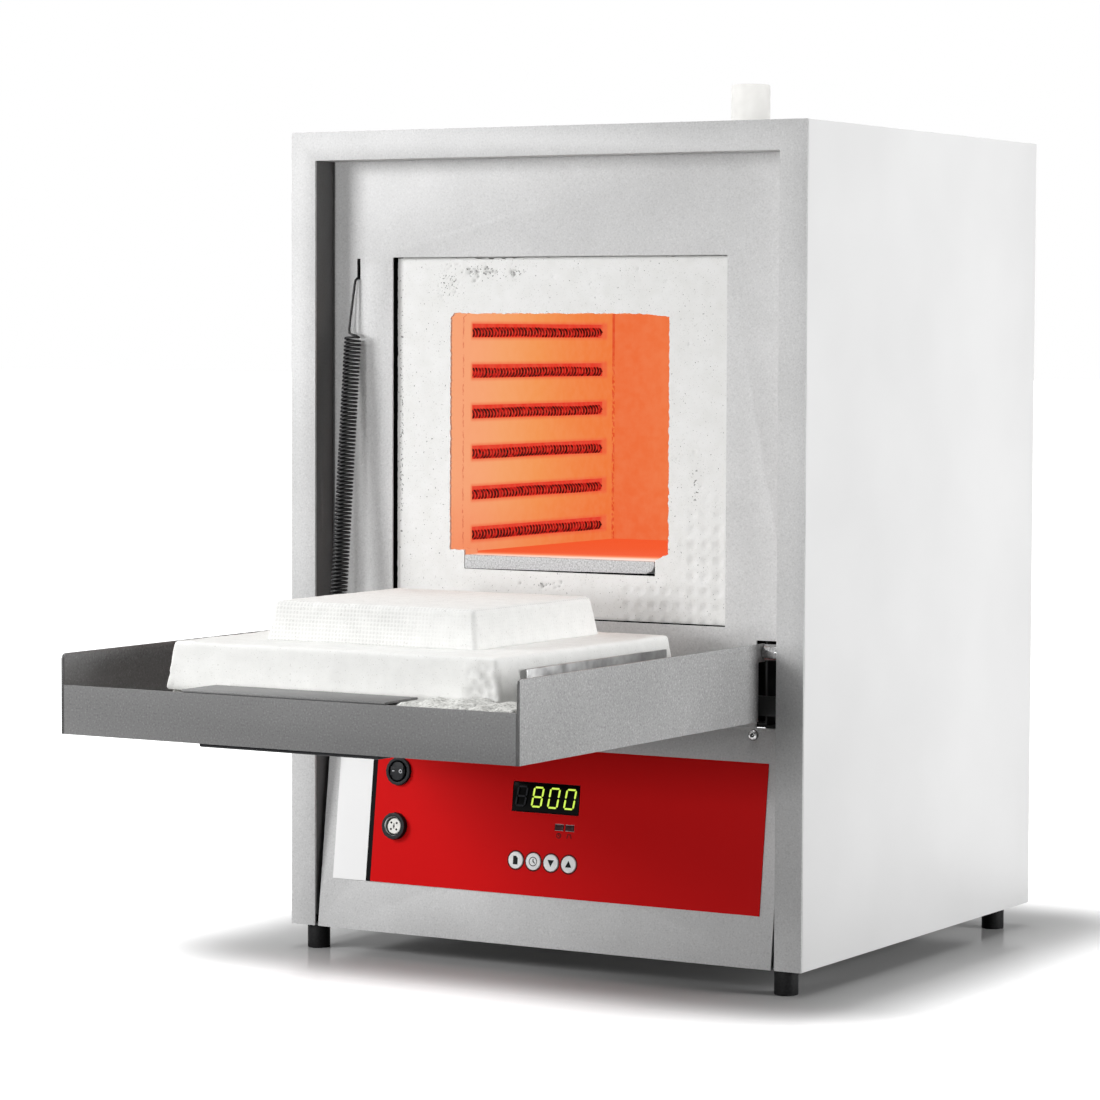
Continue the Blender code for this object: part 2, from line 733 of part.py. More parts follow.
def make_control_panel(cabinet, slope):
    """The sloped panel and everything that it carries, in the slope's frame: X, up the slope, outward."""
    half_w = OPENING_HALF_W - SLOPE_EDGE_GAP
    panel = sheet("control_panel", [(0, 0), (SLOPE_BACK, SLOPE_H), (RETURN_BACK, SLOPE_H)],
                  "X", -half_w, half_w, CASE_T, -1, "silver_paint", cabinet)
    film = box("panel_film", (-FILM_W / 2, FILM_LOW, FILM_UNDER), (FILM_W / 2, FILM_LOW + FILM_H, FILM_FACE),
               "red_film", slope)
    display_low = (DISPLAY_X - DISPLAY_W / 2, DISPLAY_UP - DISPLAY_H / 2)
    display_high = (DISPLAY_X + DISPLAY_W / 2, DISPLAY_UP + DISPLAY_H / 2)
    key_xs = [KEY_FIRST_X + KEY_PITCH * i for i in range(len(KEY_NAMES))]
    holes = [
        (KEY_R + BORE_EASE, [(x, KEY_UP, 0) for x in key_xs]),
        (SWITCH_BODY_R + BORE_EASE, [(SWITCH_X, SWITCH_UP, 0)]),
        (SOCKET_BODY_R + BORE_EASE, [(SWITCH_X, SOCKET_UP, 0)]),
    ]
    screw_spots = mirrored([(PANEL_SCREW_X, PANEL_SCREW_UP, 0)])
    for radius, spots in holes:
        for piece in (panel, film):
            cut_round(piece, radius, spots, "Z", -OVER, OVER, slope)
    cut_round(panel, SCREW_R + BORE_EASE, screw_spots, "Z", -OVER, OVER, slope, SMALL_SIDES)
    window_cut = ((display_low[0] - GAP, display_low[1] - GAP, -OVER),
                  (display_high[0] + GAP, display_high[1] + GAP, OVER))
    cut_boxes(panel, [window_cut], slope)
    lamp_boxes = []
    lamp_cuts = [window_cut]
    for x in LAMP_XS:
        low = (x - LAMP_W / 2, LAMP_UP - LAMP_H / 2)
        high = (x + LAMP_W / 2, LAMP_UP + LAMP_H / 2)
        lamp_boxes.append(((*low, FILM_UNDER), (*high, LAMP_PROUD)))
        lamp_cuts.append(((low[0] - GAP, low[1] - GAP, -OVER), (high[0] + GAP, high[1] + GAP, OVER)))
    cut_boxes(film, lamp_cuts, slope)

    module_face = -CASE_T - CASE_T
    box("display_window", (*display_low, module_face + GAP), (*display_high, DISPLAY_PROUD),
        "dark_window", slope)
    module_back = module_face - MODULE_DEPTH
    box("controller_module", (display_low[0] - MODULE_SIDE, display_low[1] - MODULE_UNDER, module_back),
        (display_high[0] + MODULE_SIDE, display_high[1] + MODULE_UNDER, module_face), "black_plastic", slope)
    for name, (low, high) in zip(LAMP_NAMES, lamp_boxes):
        box(name, low, high, "lamp_dark", slope)

    board_low = (-BOARD_W / 2, BOARD_UP - BOARD_H / 2)
    board_high = (BOARD_W / 2, BOARD_UP + BOARD_H / 2)
    board_front = -BOARD_DEPTH
    box("key_board", (*board_low, board_front - BOARD_T), (*board_high, board_front), "circuit_green", slope)
    rim = box("board_frame", (*board_low, board_front + GAP), (*board_high, -CASE_T - GAP),
              "black_plastic", slope)
    cut_boxes(rim, [((board_low[0] + BOARD_FRAME_W, board_low[1] + BOARD_FRAME_W, board_front - OVER),
                     (board_high[0] - BOARD_FRAME_W, board_high[1] - BOARD_FRAME_W, OVER))], slope)
    stem_end = board_front + KEY_TRAVEL + GAP
    face = KEY_PROUD + KEY_TRAVEL
    cap = [(0, face), (KEY_R - GAP, face), (KEY_R, face - GAP), (KEY_R, face - GAP - KEY_CAP_DEPTH),
           (KEY_STEM_R, face - GAP - KEY_CAP_DEPTH), (KEY_STEM_R, stem_end), (0, stem_end)]
    for name, x in zip(KEY_NAMES, key_xs):
        turned(name, cap, (x, KEY_UP, 0), "key_white", slope)

    rim_low = FILM_FACE + GAP
    rim_high = rim_low + SWITCH_RIM_H
    switch = [(SWITCH_WELL_R, rim_high), (SWITCH_RIM_R - GAP, rim_high), (SWITCH_RIM_R, rim_low),
              (SWITCH_BODY_R, rim_low), (SWITCH_BODY_R, -SWITCH_BODY_DEPTH), (0, -SWITCH_BODY_DEPTH),
              (0, -SWITCH_WELL_DEPTH), (SWITCH_WELL_R, -SWITCH_WELL_DEPTH), (SWITCH_WELL_R, rim_high)]
    turned("switch_body", switch, (SWITCH_X, SWITCH_UP, 0), "black_plastic", slope)
    make_rocker(slope)
    socket_high = rim_low + SOCKET_RIM_H
    socket = [(SOCKET_BORE_R, socket_high), (SOCKET_RIM_R - FILM_T, socket_high), (SOCKET_RIM_R, rim_low),
              (SOCKET_BODY_R, rim_low), (SOCKET_BODY_R, -SOCKET_BODY_DEPTH), (0, -SOCKET_BODY_DEPTH),
              (0, -SOCKET_BORE_DEPTH), (SOCKET_BORE_R, -SOCKET_BORE_DEPTH), (SOCKET_BORE_R, socket_high)]
    turned("socket_shell", socket, (SWITCH_X, SOCKET_UP, 0), "black_plastic", slope)
    insert_low = -SOCKET_BORE_DEPTH + GAP
    turned("socket_insert", solid_rod(SOCKET_BORE_R - GAP, insert_low, insert_low + SOCKET_INSERT_H),
           (SWITCH_X, SOCKET_UP, 0), "insert_white", slope)
    crown_r = SCREW_HEAD_R * SCREW_CROWN_share
    screw = [(0, GAP + SCREW_HEAD_H), (crown_r, GAP + SCREW_HEAD_H), (SCREW_HEAD_R, GAP),
             (SCREW_R, GAP), (SCREW_R, -SCREW_LENGTH), (0, -SCREW_LENGTH)]
    for name, spot in zip(("panel_screw_left", "panel_screw_right"), screw_spots):
        turned(name, screw, spot, "bright_steel", slope, "Z", SMALL_SIDES)


def make_rocker(slope):
    """The rocker, turned about a pin that runs up the slope. Its left end is pressed in."""
    pin = (SWITCH_X, SWITCH_UP, -ROCKER_PIVOT_DEPTH)
    hinge = make_empty("rocker_pin", pin, slope.empty, (0, -ROCKER_TILT, 0))
    points = [(-ROCKER_HALF_W, -ROCKER_KEEL / 2), (-ROCKER_HALF_W / 2, -ROCKER_KEEL),
              (ROCKER_HALF_W / 2, -ROCKER_KEEL), (ROCKER_HALF_W, -ROCKER_KEEL / 2),
              (ROCKER_HALF_W, ROCKER_CROWN + ROCKER_END_RISE), (0, ROCKER_CROWN),
              (-ROCKER_HALF_W, ROCKER_CROWN + ROCKER_END_RISE)]
    outline("switch_rocker", points, "Y", -ROCKER_HALF_H, ROCKER_HALF_H, "black_plastic", Carrier(hinge))


def row_heights():
    return [ROW_TOP - ROW_PITCH * i for i in range(ROW_COUNT)]


def make_hot_box(cabinet):
    """Insulation boards, hearth tile, elements, steel shell, chimney and thermocouple."""
    bridge_half = INNER_HALF_W - BRIDGE_INSET
    bridge_front = PANEL_BACK + GAP
    sheet("bridge", [(-bridge_half, CASE_T + GAP), (-bridge_half, BRIDGE_TOP), (bridge_half, BRIDGE_TOP),
                     (bridge_half, CASE_T + GAP)],
          "Y", bridge_front, BASE_BACK, STEEL_T, 1, "zinc_plate", cabinet)

    shell_half = BOX_HALF_W + GAP + STEEL_T
    shell_low = BRIDGE_TOP + GAP
    shell_high = BOX_TOP + GAP + STEEL_T
    shell_back = INNER_PLATE_BACK + SHELL_REAR_LAP
    shell = box("insulation_shell", (-shell_half, bridge_front, shell_low),
                (shell_half, shell_back, shell_high), "zinc_plate", cabinet)
    cut_boxes(shell, [((-BOX_HALF_W - GAP, bridge_front - OVER, shell_low + STEEL_T),
                       (BOX_HALF_W + GAP, shell_back + OVER, BOX_TOP + GAP))], cabinet)
    cut_round(shell, CHIMNEY_R + BORE_EASE, [(0, CHIMNEY_Y, BOX_TOP)], "Z", -OVER, OVER, cabinet)

    front = box("front_insulation", (-BOX_HALF_W, BOARD_FRONT + BOARD_STEP, BOX_LOW),
                (BOX_HALF_W, THROAT_BACK, BOX_TOP), "board_white", cabinet)
    raised_half = WINDOW_W / 2 - BOARD_EDGE_GAP
    raised_back = (BOARD_FRONT + BOARD_STEP + THROAT_BACK) / 2
    join_box(front, (-raised_half, BOARD_FRONT, WINDOW_LOW + BOARD_EDGE_GAP),
             (raised_half, raised_back, WINDOW_LOW + WINDOW_H - BOARD_EDGE_GAP), cabinet)
    mouth_half = MOUTH_W / 2
    slot_half = TILE_W / 2 + GAP
    cut_boxes(front, [((-mouth_half, BOARD_FRONT - OVER, MOUTH_LOW),
                       (mouth_half, THROAT_BACK + OVER, MOUTH_LOW + MOUTH_H))], cabinet)
    cut_boxes(front, [((-slot_half, BOARD_FRONT - OVER, FLOOR_TOP),
                       (slot_half, THROAT_BACK + OVER, MOUTH_LOW + OVER))], cabinet)

    floor_half = CHAMBER_HALF_W - GAP
    box("floor_insulation", (-floor_half, WALL_FRONT, BOX_LOW), (floor_half, CHAMBER_BACK, FLOOR_TOP),
        "glowing_board", cabinet)
    box("roof_insulation", (-floor_half, WALL_FRONT, CHAMBER_TOP), (floor_half, CHAMBER_BACK, BOX_TOP),
        "glowing_board", cabinet)
    tile_back = CHAMBER_BACK - TILE_BACK_GAP
    tile = box("hearth_tile", (-TILE_W / 2, BOARD_FRONT - GAP, TILE_LOW), (TILE_W / 2, tile_back, TILE_TOP),
               "hearth_grey", cabinet)
    join_box(tile, (-floor_half, WALL_FRONT, TILE_LOW), (floor_half, tile_back, TILE_TOP), cabinet)
    for side, name in ((-1, "left"), (1, "right")):
        make_side_wall(side, name, cabinet)

    tail_spots = mirrored([(COIL_X, 0, z) for z in (row_heights()[0], row_heights()[-1])])
    back = box("back_insulation", (-BOX_HALF_W, BACK_BOARD_FRONT, BOX_LOW),
               (BOX_HALF_W, BACK_BOARD_BACK, BOX_TOP), "board_white", cabinet)
    plate = box("insulation_back_plate", (-BOX_HALF_W, INNER_PLATE_FRONT, BOX_LOW),
                (BOX_HALF_W, INNER_PLATE_BACK, BOX_TOP), "zinc_plate", cabinet)
    for piece in (back, plate):
        cut_round(piece, TAIL_BORE_R, tail_spots, "Y", BACK_BOARD_FRONT - OVER, INNER_PLATE_BACK + OVER,
                  cabinet, SMALL_SIDES)
        cut_round(piece, PROBE_R + BORE_EASE, [(0, 0, PROBE_Z)], "Y", BACK_BOARD_FRONT - OVER,
                  INNER_PLATE_BACK + OVER, cabinet, SMALL_SIDES)
    cut_round(back, FLUE_R, [(0, 0, FLUE_Z)], "Y", BACK_BOARD_FRONT - OVER, CHIMNEY_Y, cabinet, SMALL_SIDES)
    flue_spot = [(0, CHIMNEY_Y, 0)]
    cut_round(back, CHIMNEY_BORE_R, flue_spot, "Z", FLUE_Z - FLUE_R - BORE_EASE, CHIMNEY_SEAT, cabinet)
    cut_round(back, CHIMNEY_R + BORE_EASE, flue_spot, "Z", CHIMNEY_SEAT - GAP, BOX_TOP + OVER, cabinet)
    turned("chimney_tube", ring(CHIMNEY_R, CHIMNEY_BORE_R, CHIMNEY_SEAT, CHIMNEY_TOP),
           (0, CHIMNEY_Y, 0), "white_ceramic", cabinet, "Z", LARGE_SIDES)

    half = TERMINAL_SIDE / 2
    bar_front = INNER_PLATE_BACK + GAP
    tail_high, tail_low = row_heights()[0], row_heights()[-1]
    for side, name in ((-1, "left"), (1, "right")):
        x = side * COIL_X
        bar = box("terminal_bar_" + name, (x - half, bar_front, tail_low - half),
                  (x + half, bar_front + TERMINAL_T, tail_high + half), "white_ceramic", cabinet)
        cut_round(bar, TAIL_BORE_R, [(x, 0, tail_low), (x, 0, tail_high)], "Y", INNER_PLATE_BACK - OVER,
                  bar_front + TERMINAL_T + OVER, cabinet, SMALL_SIDES)
    probe_head = INNER_PLATE_BACK + GAP
    turned("thermocouple_sheath", solid_rod(PROBE_R, CHAMBER_BACK - PROBE_REACH, INNER_PLATE_BACK),
           (0, 0, PROBE_Z), "white_ceramic", cabinet, "Y", SMALL_SIDES)
    box("thermocouple_head", (-PROBE_HEAD_W / 2, probe_head, PROBE_Z - PROBE_HEAD_H / 2),
        (PROBE_HEAD_W / 2, probe_head + PROBE_HEAD_T, PROBE_Z + PROBE_HEAD_H / 2), "white_ceramic", cabinet)


def make_side_wall(side, name, cabinet):
    """One side board with its grooves, and the six rows of its element."""
    inner = side * CHAMBER_HALF_W
    outer = side * BOX_HALF_W
    low_x, high_x = sorted((inner, outer))
    wall = box("side_insulation_" + name, (low_x, WALL_FRONT, BOX_LOW), (high_x, CHAMBER_BACK, BOX_TOP),
               "glowing_board", cabinet)
    rod_x = side * COIL_X
    groove_deep = inner + side * GROOVE_DEPTH
    tunnel_face = inner + side * LINK_COVER
    grooves = []
    tunnels = []
    heights = row_heights()
    for z in heights:
        groove_low = z - COIL_R - GAP
        across = sorted((inner - side * OVER, groove_deep))
        grooves.append(((across[0], ROW_START - GAP, groove_low),
                        (across[1], ROW_END + GAP, groove_low + GROOVE_H)))
    for i, (z_high, z_low) in enumerate(zip(heights, heights[1:])):
        near, far = sorted(link_place(i))
        across = sorted((tunnel_face, groove_deep))
        tunnels.append(((across[0], near - TAIL_BORE_R, z_low - TAIL_BORE_R),
                        (across[1], far + TAIL_BORE_R, z_high + TAIL_BORE_R)))
    cut_boxes(wall, grooves, cabinet)
    cut_boxes(wall, tunnels, cabinet)
    ends = [(rod_x, 0, heights[0]), (rod_x, 0, heights[-1])]
    cut_round(wall, TAIL_BORE_R, ends, "Y", ROW_END - GAP, CHAMBER_BACK + OVER, cabinet, SMALL_SIDES)
    make_element("element_" + name, rod_x, cabinet)


def link_place(i):
    """Where the link from row i to the next one runs: the row's end, and the link's own place along Y."""
    if i % 2 == 0:
        return ROW_START, ROW_START - LINK_REACH
    return ROW_END, ROW_END + LINK_REACH


def make_element(name, x, cabinet):
    """One wall's element: thick coiled rows, each led into the next by a thin link inside the board."""
    thin = TAIL_R / COIL_R
    tail_end = INNER_PLATE_BACK + TAIL_REACH
    heights = row_heights()
    stations = [(tail_end, heights[0], thin), (ROW_END + COIL_TAPER, heights[0], thin)]
    for i, z in enumerate(heights):
        ends = [(ROW_END, -1), (ROW_START, 1)]
        if i % 2:
            ends.reverse()
        (first, into), (last, back) = ends
        stations.append((first + into * COIL_TAPER / 2, z, thin))
        stations.append((first + into * COIL_TAPER, z, 1))
        stations.append((last + back * COIL_TAPER, z, 1))
        stations.append((last + back * COIL_TAPER / 2, z, thin))
        if i + 1 < len(heights):
            _, y = link_place(i)
            stations.append((y, z, thin))
            stations.append((y, heights[i + 1], thin))
    stations.append((tail_end, heights[-1], thin))
    points = [Vector((x, y, z)) for y, z, _ in stations]
    shares = [share for _, _, share in stations]
    wire(name, points, COIL_R, 2, "heater_wire", cabinet, shares)


def wire(name, points, radius, resolution, material, carrier, shares=None):
    """A round wire along its points, with flat closed ends."""
    curve = bpy.data.curves.new(name, "CURVE")
    curve.dimensions = "3D"
    curve.bevel_depth = radius
    curve.bevel_resolution = resolution
    curve.use_fill_caps = True
    spline = curve.splines.new("POLY")
    spline.points.add(len(points) - 1)
    for i, (point, place) in enumerate(zip(spline.points, points)):
        point.co = (*(place - carrier.at), 1)
        point.radius = shares[i] if shares else 1
    return make_object(name, curve, carrier, carrier.at, material)


def make_electrics(cabinet):
    """Heat sink and relay on the base tray, gland and fuse holder on the back panel."""
    low = CASE_T + GAP
    high = low + SINK_H
    left = SINK_X - SINK_W / 2
    front = SINK_Y - SINK_L / 2
    sink = box("relay_heat_sink", (left, front, low), (left + SINK_W, front + SINK_L, high),
               "zinc_plate", cabinet)
    pitch = (SINK_W - SINK_FIN_T) / (SINK_FIN_COUNT - 1)
    channels = [((left + pitch * i + SINK_FIN_T, front - OVER, low - OVER),
                 (left + pitch * (i + 1), front + SINK_L + OVER, high - SINK_PLATE_T))
                for i in range(SINK_FIN_COUNT - 1)]
    cut_boxes(sink, channels, cabinet)
    box("solid_state_relay", (SINK_X - RELAY_W / 2, SINK_Y - RELAY_L / 2, high + GAP),
        (SINK_X + RELAY_W / 2, SINK_Y + RELAY_L / 2, high + GAP + RELAY_H), "black_plastic", cabinet)
    inner = -CASE_T - GAP - GLAND_IN
    end_r = GLAND_R * GLAND_END_share
    gland = [(GLAND_BORE_R, GLAND_OUT), (end_r, GLAND_OUT), (GLAND_R, GLAND_OUT / 2), (GLAND_R, GAP),
             (GLAND_THREAD_R, GAP), (GLAND_THREAD_R, inner), (GLAND_BORE_R, inner),
             (GLAND_BORE_R, GLAND_OUT)]
    turned("mains_gland", gland, (GLAND_X, BACK_PANEL_BACK, GLAND_Z), "black_plastic", cabinet, "Y")
    fuse = [(0, FUSE_OUT), (FUSE_R - GAP, FUSE_OUT), (FUSE_R, GAP), (FUSE_BODY_R, GAP),
            (FUSE_BODY_R, -FUSE_IN), (0, -FUSE_IN)]
    turned("fuse_holder", fuse, (FUSE_X, BACK_PANEL_BACK, GLAND_Z), "black_plastic", cabinet, "Y")


def tapered_block(name, low, high, taper, material, carrier):
    """A moulded block whose sides lean in towards its top, with soft edges."""
    centre = [(a + b) / 2 for a, b in zip(low, high)]
    mesh_low = [a - c for a, c in zip(low, centre)]
    mesh_high = [a - c for a, c in zip(high, centre)]
    bm = bmesh.new()
    for vertex in add_box(bm, mesh_low, mesh_high):
        if vertex.co.z > 0:
            vertex.co.x -= math.copysign(taper, vertex.co.x)
            vertex.co.y -= math.copysign(taper, vertex.co.y)
    obj = make_object(name, mesh_from(bm, name), carrier, centre, material)
    round_edges(obj, BLOCK_EDGE_R)
    return obj


def make_door(door):
    """The folded tray with its blanket, slab, plug, angles, clip, pull strip and spring stud."""
    pan = sheet("door_tray", [(DOOR_REAR, DOOR_UNDER), (DOOR_FRONT, DOOR_UNDER),
                              (DOOR_FRONT, FRONT_FLANGE_TOP)],
                "X", -DOOR_HALF_W + DOOR_T / 2, DOOR_HALF_W - DOOR_T / 2, DOOR_T, -1, "door_paint", door)
    for side in (-1, 1):
        low_x, high_x = sorted((side * DOOR_INNER_HALF_W, side * DOOR_HALF_W))
        points = [(DOOR_FRONT, DOOR_UNDER), (DOOR_REAR, DOOR_UNDER), (DOOR_REAR, PIVOT_Z - EAR_R)]
        for i in range(SMALL_SIDES // 2 + 1):
            angle = -math.pi / 2 + math.pi * i / (SMALL_SIDES // 2)
            points.append((PIVOT_Y + EAR_R * math.cos(angle), PIVOT_Z + EAR_R * math.sin(angle)))
        round_in = FLANGE_CORNER * CORNER_ROUND_share
        points += [(DOOR_FRONT + FLANGE_CORNER, FLANGE_TOP), (DOOR_FRONT + round_in, FLANGE_TOP - round_in),
                   (DOOR_FRONT, FLANGE_TOP - FLANGE_CORNER)]
        flange = outline("door_flange", points, "X", low_x, high_x, None, door)
        combine(pan, as_cutter(flange), "UNION")
    ears = mirrored([(DOOR_HALF_W, PIVOT_Y, PIVOT_Z)])
    cut_round(pan, PIVOT_HOLE_R, ears, "X", -OVER, OVER, door, SMALL_SIDES)

    blanket_half = DOOR_INNER_HALF_W - BLANKET_SIDE_GAP
    blanket_top = DOOR_FLOOR + GAP + BLANKET_T
    blanket = tapered_block("door_blanket", (-blanket_half, BLANKET_FRONT, DOOR_FLOOR + GAP),
                            (blanket_half, BLANKET_REAR, blanket_top), GAP, "board_white", door)
    cut_boxes(blanket, [((-blanket_half - OVER, BLANKET_NOTCH_FRONT, DOOR_UNDER),
                         (-blanket_half + BLANKET_NOTCH_W, BLANKET_REAR + OVER, blanket_top + OVER))], door)
    slab_low = blanket_top + GAP
    tapered_block("door_slab", (-SLAB_HALF_W, SLAB_FRONT, slab_low), (SLAB_HALF_W, SLAB_REAR, SLAB_TOP),
                  SLAB_TAPER, "board_white", door)
    tapered_block("door_plug", (-PLUG_HALF_W, PLUG_FRONT, SLAB_TOP + GAP), (PLUG_HALF_W, PLUG_REAR, PLUG_TOP),
                  PLUG_TAPER, "board_white", door)
    for side, name in ((-1, "left"), (1, "right")):
        inner = side * (SLAB_HALF_W + ANGLE_SIDE_GAP)
        foot = inner + side * ANGLE_FOOT
        sheet("retaining_angle_" + name, [(inner, ANGLE_TOP), (inner, slab_low), (foot, slab_low)],
              "Y", ANGLE_FRONT, ANGLE_REAR, ANGLE_T, -side, "zinc_plate", door)
    clip_low = FRONT_FLANGE_TOP + GAP
    clip = box("front_clip", (-CLIP_HALF_W, DOOR_FRONT, clip_low),
               (CLIP_HALF_W, DOOR_FRONT + CLIP_REACH, clip_low + DOOR_T), "door_paint", door)
    join_box(clip, (-CLIP_HALF_W, CLIP_LEG_FRONT, clip_low - CLIP_DROP),
             (CLIP_HALF_W, CLIP_LEG_FRONT + DOOR_T, clip_low + DOOR_T / 2), door)
    pull_top = DOOR_UNDER - GAP
    box("pull_strip", (-PULL_HALF_W, PULL_FRONT, pull_top - PULL_H),
        (PULL_HALF_W, PULL_FRONT + PULL_W, pull_top), "black_plastic", door, PULL_EDGE)
    stud = [(0, STUD_NECK + STUD_HEAD_T), (STUD_HEAD_R, STUD_NECK + STUD_HEAD_T), (STUD_HEAD_R, STUD_NECK),
            (STUD_R, STUD_NECK), (STUD_R, GAP), (0, GAP)]
    turned("spring_stud", stud, (-DOOR_INNER_HALF_W, STUD_Y, STUD_Z), "bright_steel", door, "X", SMALL_SIDES)


def make_hinges(cabinet):
    """The two shoulder bolts that the door turns on. They stay on the cabinet."""
    inner = DOOR_INNER_HALF_W - GAP
    outer = OPENING_HALF_W + FRAME_T + GAP
    shoulder_in = DOOR_HALF_W + GAP
    shoulder_out = OPENING_HALF_W - GAP
    bolt = [(0, outer + PIVOT_NUT_T), (PIVOT_HEAD_R, outer + PIVOT_NUT_T), (PIVOT_HEAD_R, outer),
            (PIVOT_BOLT_R, outer), (PIVOT_BOLT_R, shoulder_out), (SHOULDER_R, shoulder_out),
            (SHOULDER_R, shoulder_in), (PIVOT_BOLT_R, shoulder_in), (PIVOT_BOLT_R, inner),
            (PIVOT_HEAD_R, inner), (PIVOT_HEAD_R, inner - PIVOT_HEAD_T), (0, inner - PIVOT_HEAD_T)]
    for name, axis in (("hinge_bolt_left", "-X"), ("hinge_bolt_right", "X")):
        turned(name, bolt, (0, PIVOT_Y, PIVOT_Z), "bright_steel", cabinet, axis)


def spring_points():
    """The centre line of the spring's one wire, in the cabinet's frame, with its coil from hook to eye."""
    top = Vector((SPRING_X, COIL_TOP_Y, COIL_TOP_Z))
    stud = Vector((SPRING_X, STUD_Y, STUD_Z))
    down = (stud - top).normalized()
    across = Vector((1, 0, 0))
    forward = down.cross(across).normalized()
    if forward.y > 0:
        forward.negate()
    coil_length = (stud - top).length - EYE_NECK
    behind = PANEL_BACK + GAP + WIRE_R
    rest = SLOT_LOW + GAP + WIRE_R
    hook_front = RECESS_DEPTH - GAP - WIRE_R * 2
    points = [
        Vector((SPRING_X, behind, rest - HOOK_DROP)),
        Vector((SPRING_X, behind, rest - WIRE_R * 2)),
        Vector((SPRING_X, behind, rest)),
        Vector((SPRING_X, (behind + hook_front) / 2, rest + WIRE_R)),
        Vector((SPRING_X, hook_front, rest)),
        Vector((SPRING_X, HOOK_Y, rest - WIRE_R * 3)),
    ]
    start = top + forward * SPRING_R
    points.append(start - down * (SPRING_R / 2))
    count = SPRING_CURLS * CURL_POINTS
    for i in range(count + 1):
        angle = math.tau * i / CURL_POINTS
        out = forward * math.cos(angle) + across * math.sin(angle)
        points.append(top + down * (coil_length * i / count) + out * SPRING_R)
    for i in range(EYE_POINTS + 1):
        angle = EYE_TURN * i / EYE_POINTS
        out = forward * math.cos(angle) + down * math.sin(angle)
        points.append(stud + out * EYE_R)
    return points


def least_self_gap(points):
    """The least clear space between turns of the wire that aren't neighbours along it."""
    reach = SPRING_R * 2
    lengths = [0]
    for a, b in zip(points, points[1:]):
        lengths.append(lengths[-1] + (b - a).length)
    least = reach
    for i, a in enumerate(points):
        for j in range(i + 3, min(i + CURL_POINTS * 2, len(points))):
            if lengths[j] - lengths[i] > reach:
                least = min(least, (points[j] - a).length)
    return least - WIRE_R * 2


def make_spring(swing):
    points = spring_points()
    print("spring: least gap of the wire to itself, mm:", round(least_self_gap(points) * 1000, 3))
    wire("door_spring", points, WIRE_R, 1, "spring_black", swing)


PARTS, CUTTERS = clear_scene()
cabinet_empty = make_empty("cabinet_origin", (0, -MIDDLE_Y, FOOT_H))
cabinet_frame = Carrier(cabinet_empty)
slope_frame = Carrier(make_empty("slope_frame", (0, 0, 0), cabinet_empty, (math.pi / 2 - SLOPE, 0, 0)))
door_at = (0, PIVOT_Y, PIVOT_Z)
door_frame = Carrier(make_empty("door_axis", door_at, cabinet_empty), door_at)
hook_at = (SPRING_X, RECESS_DEPTH, SLOT_LOW)
spring_frame = Carrier(make_empty("spring_hook", hook_at, cabinet_empty), hook_at)

make_casing(cabinet_frame)
make_feet(cabinet_frame)
make_control_panel(cabinet_frame, slope_frame)
make_hot_box(cabinet_frame)
make_electrics(cabinet_frame)
make_door(door_frame)
make_hinges(cabinet_frame)
make_spring(spring_frame)
print("pieces:", len(drawn))
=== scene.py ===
# %% [markdown]
# # A laboratory chamber furnace with its door open
#
# A small bench furnace: a folded steel cabinet with a hot box of fibre board in it, a door that
# drops down on two shoulder bolts and a long black spring that holds the door's weight.
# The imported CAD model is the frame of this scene. It says where every piece goes, and the lesson
# adds what a machine drawing leaves out: soft edges, fibre, pits, coils, print and light.

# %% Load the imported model
import math
from contextlib import contextmanager
from functools import reduce

import bmesh
import bpy
import numpy as np
from mathutils import Matrix, Vector, noise


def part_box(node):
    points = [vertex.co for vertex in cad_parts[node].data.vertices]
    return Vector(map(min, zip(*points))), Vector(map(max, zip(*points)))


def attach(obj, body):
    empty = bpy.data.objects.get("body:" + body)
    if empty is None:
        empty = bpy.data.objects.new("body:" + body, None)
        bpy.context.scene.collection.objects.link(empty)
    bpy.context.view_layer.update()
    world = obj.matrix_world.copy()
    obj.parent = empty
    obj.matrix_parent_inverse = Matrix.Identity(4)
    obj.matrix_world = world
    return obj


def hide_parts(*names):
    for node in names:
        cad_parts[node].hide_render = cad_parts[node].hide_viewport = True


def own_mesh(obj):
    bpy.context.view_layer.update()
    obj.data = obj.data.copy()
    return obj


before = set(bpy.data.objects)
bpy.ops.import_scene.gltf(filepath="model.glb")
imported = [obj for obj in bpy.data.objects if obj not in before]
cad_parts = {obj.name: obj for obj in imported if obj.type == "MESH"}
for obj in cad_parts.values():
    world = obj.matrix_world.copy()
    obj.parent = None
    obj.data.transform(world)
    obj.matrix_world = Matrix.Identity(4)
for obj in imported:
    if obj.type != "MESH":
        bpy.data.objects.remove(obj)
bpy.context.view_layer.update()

MM = 0.001

# %% [markdown]
# ## Places
#
# The furnace was drawn in the cabinet's own frame: X to the right, Y back from the front face and
# Z up from the cabinet's lower edge. Two functions turn those numbers into places in the scene.
# The control panel leans back, so it gets a frame of its own, in which Z points out of the panel.

# %% From the cabinet's frame and the sloped panel's frame to the scene
CABINET = Vector((0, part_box("front_frame")[0].y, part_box("outer_case")[0].z))
SLOPE_RISE, SLOPE_RUN = 0.146, 0.0178
LEAN = math.atan2(SLOPE_RUN, SLOPE_RISE)
SLOPE = Matrix.Translation(CABINET) @ Matrix.Rotation(-LEAN, 4, "X")


def cab(x, y, z):
    """A place in the cabinet's frame."""
    return CABINET + Vector((x, y, z))


def y_at(depth):
    """A depth behind the cabinet's front face, as the scene's Y."""
    return cab(0, depth, 0).y


def z_at(height):
    """A height over the cabinet's lower edge, as the scene's Z."""
    return cab(0, 0, height).z


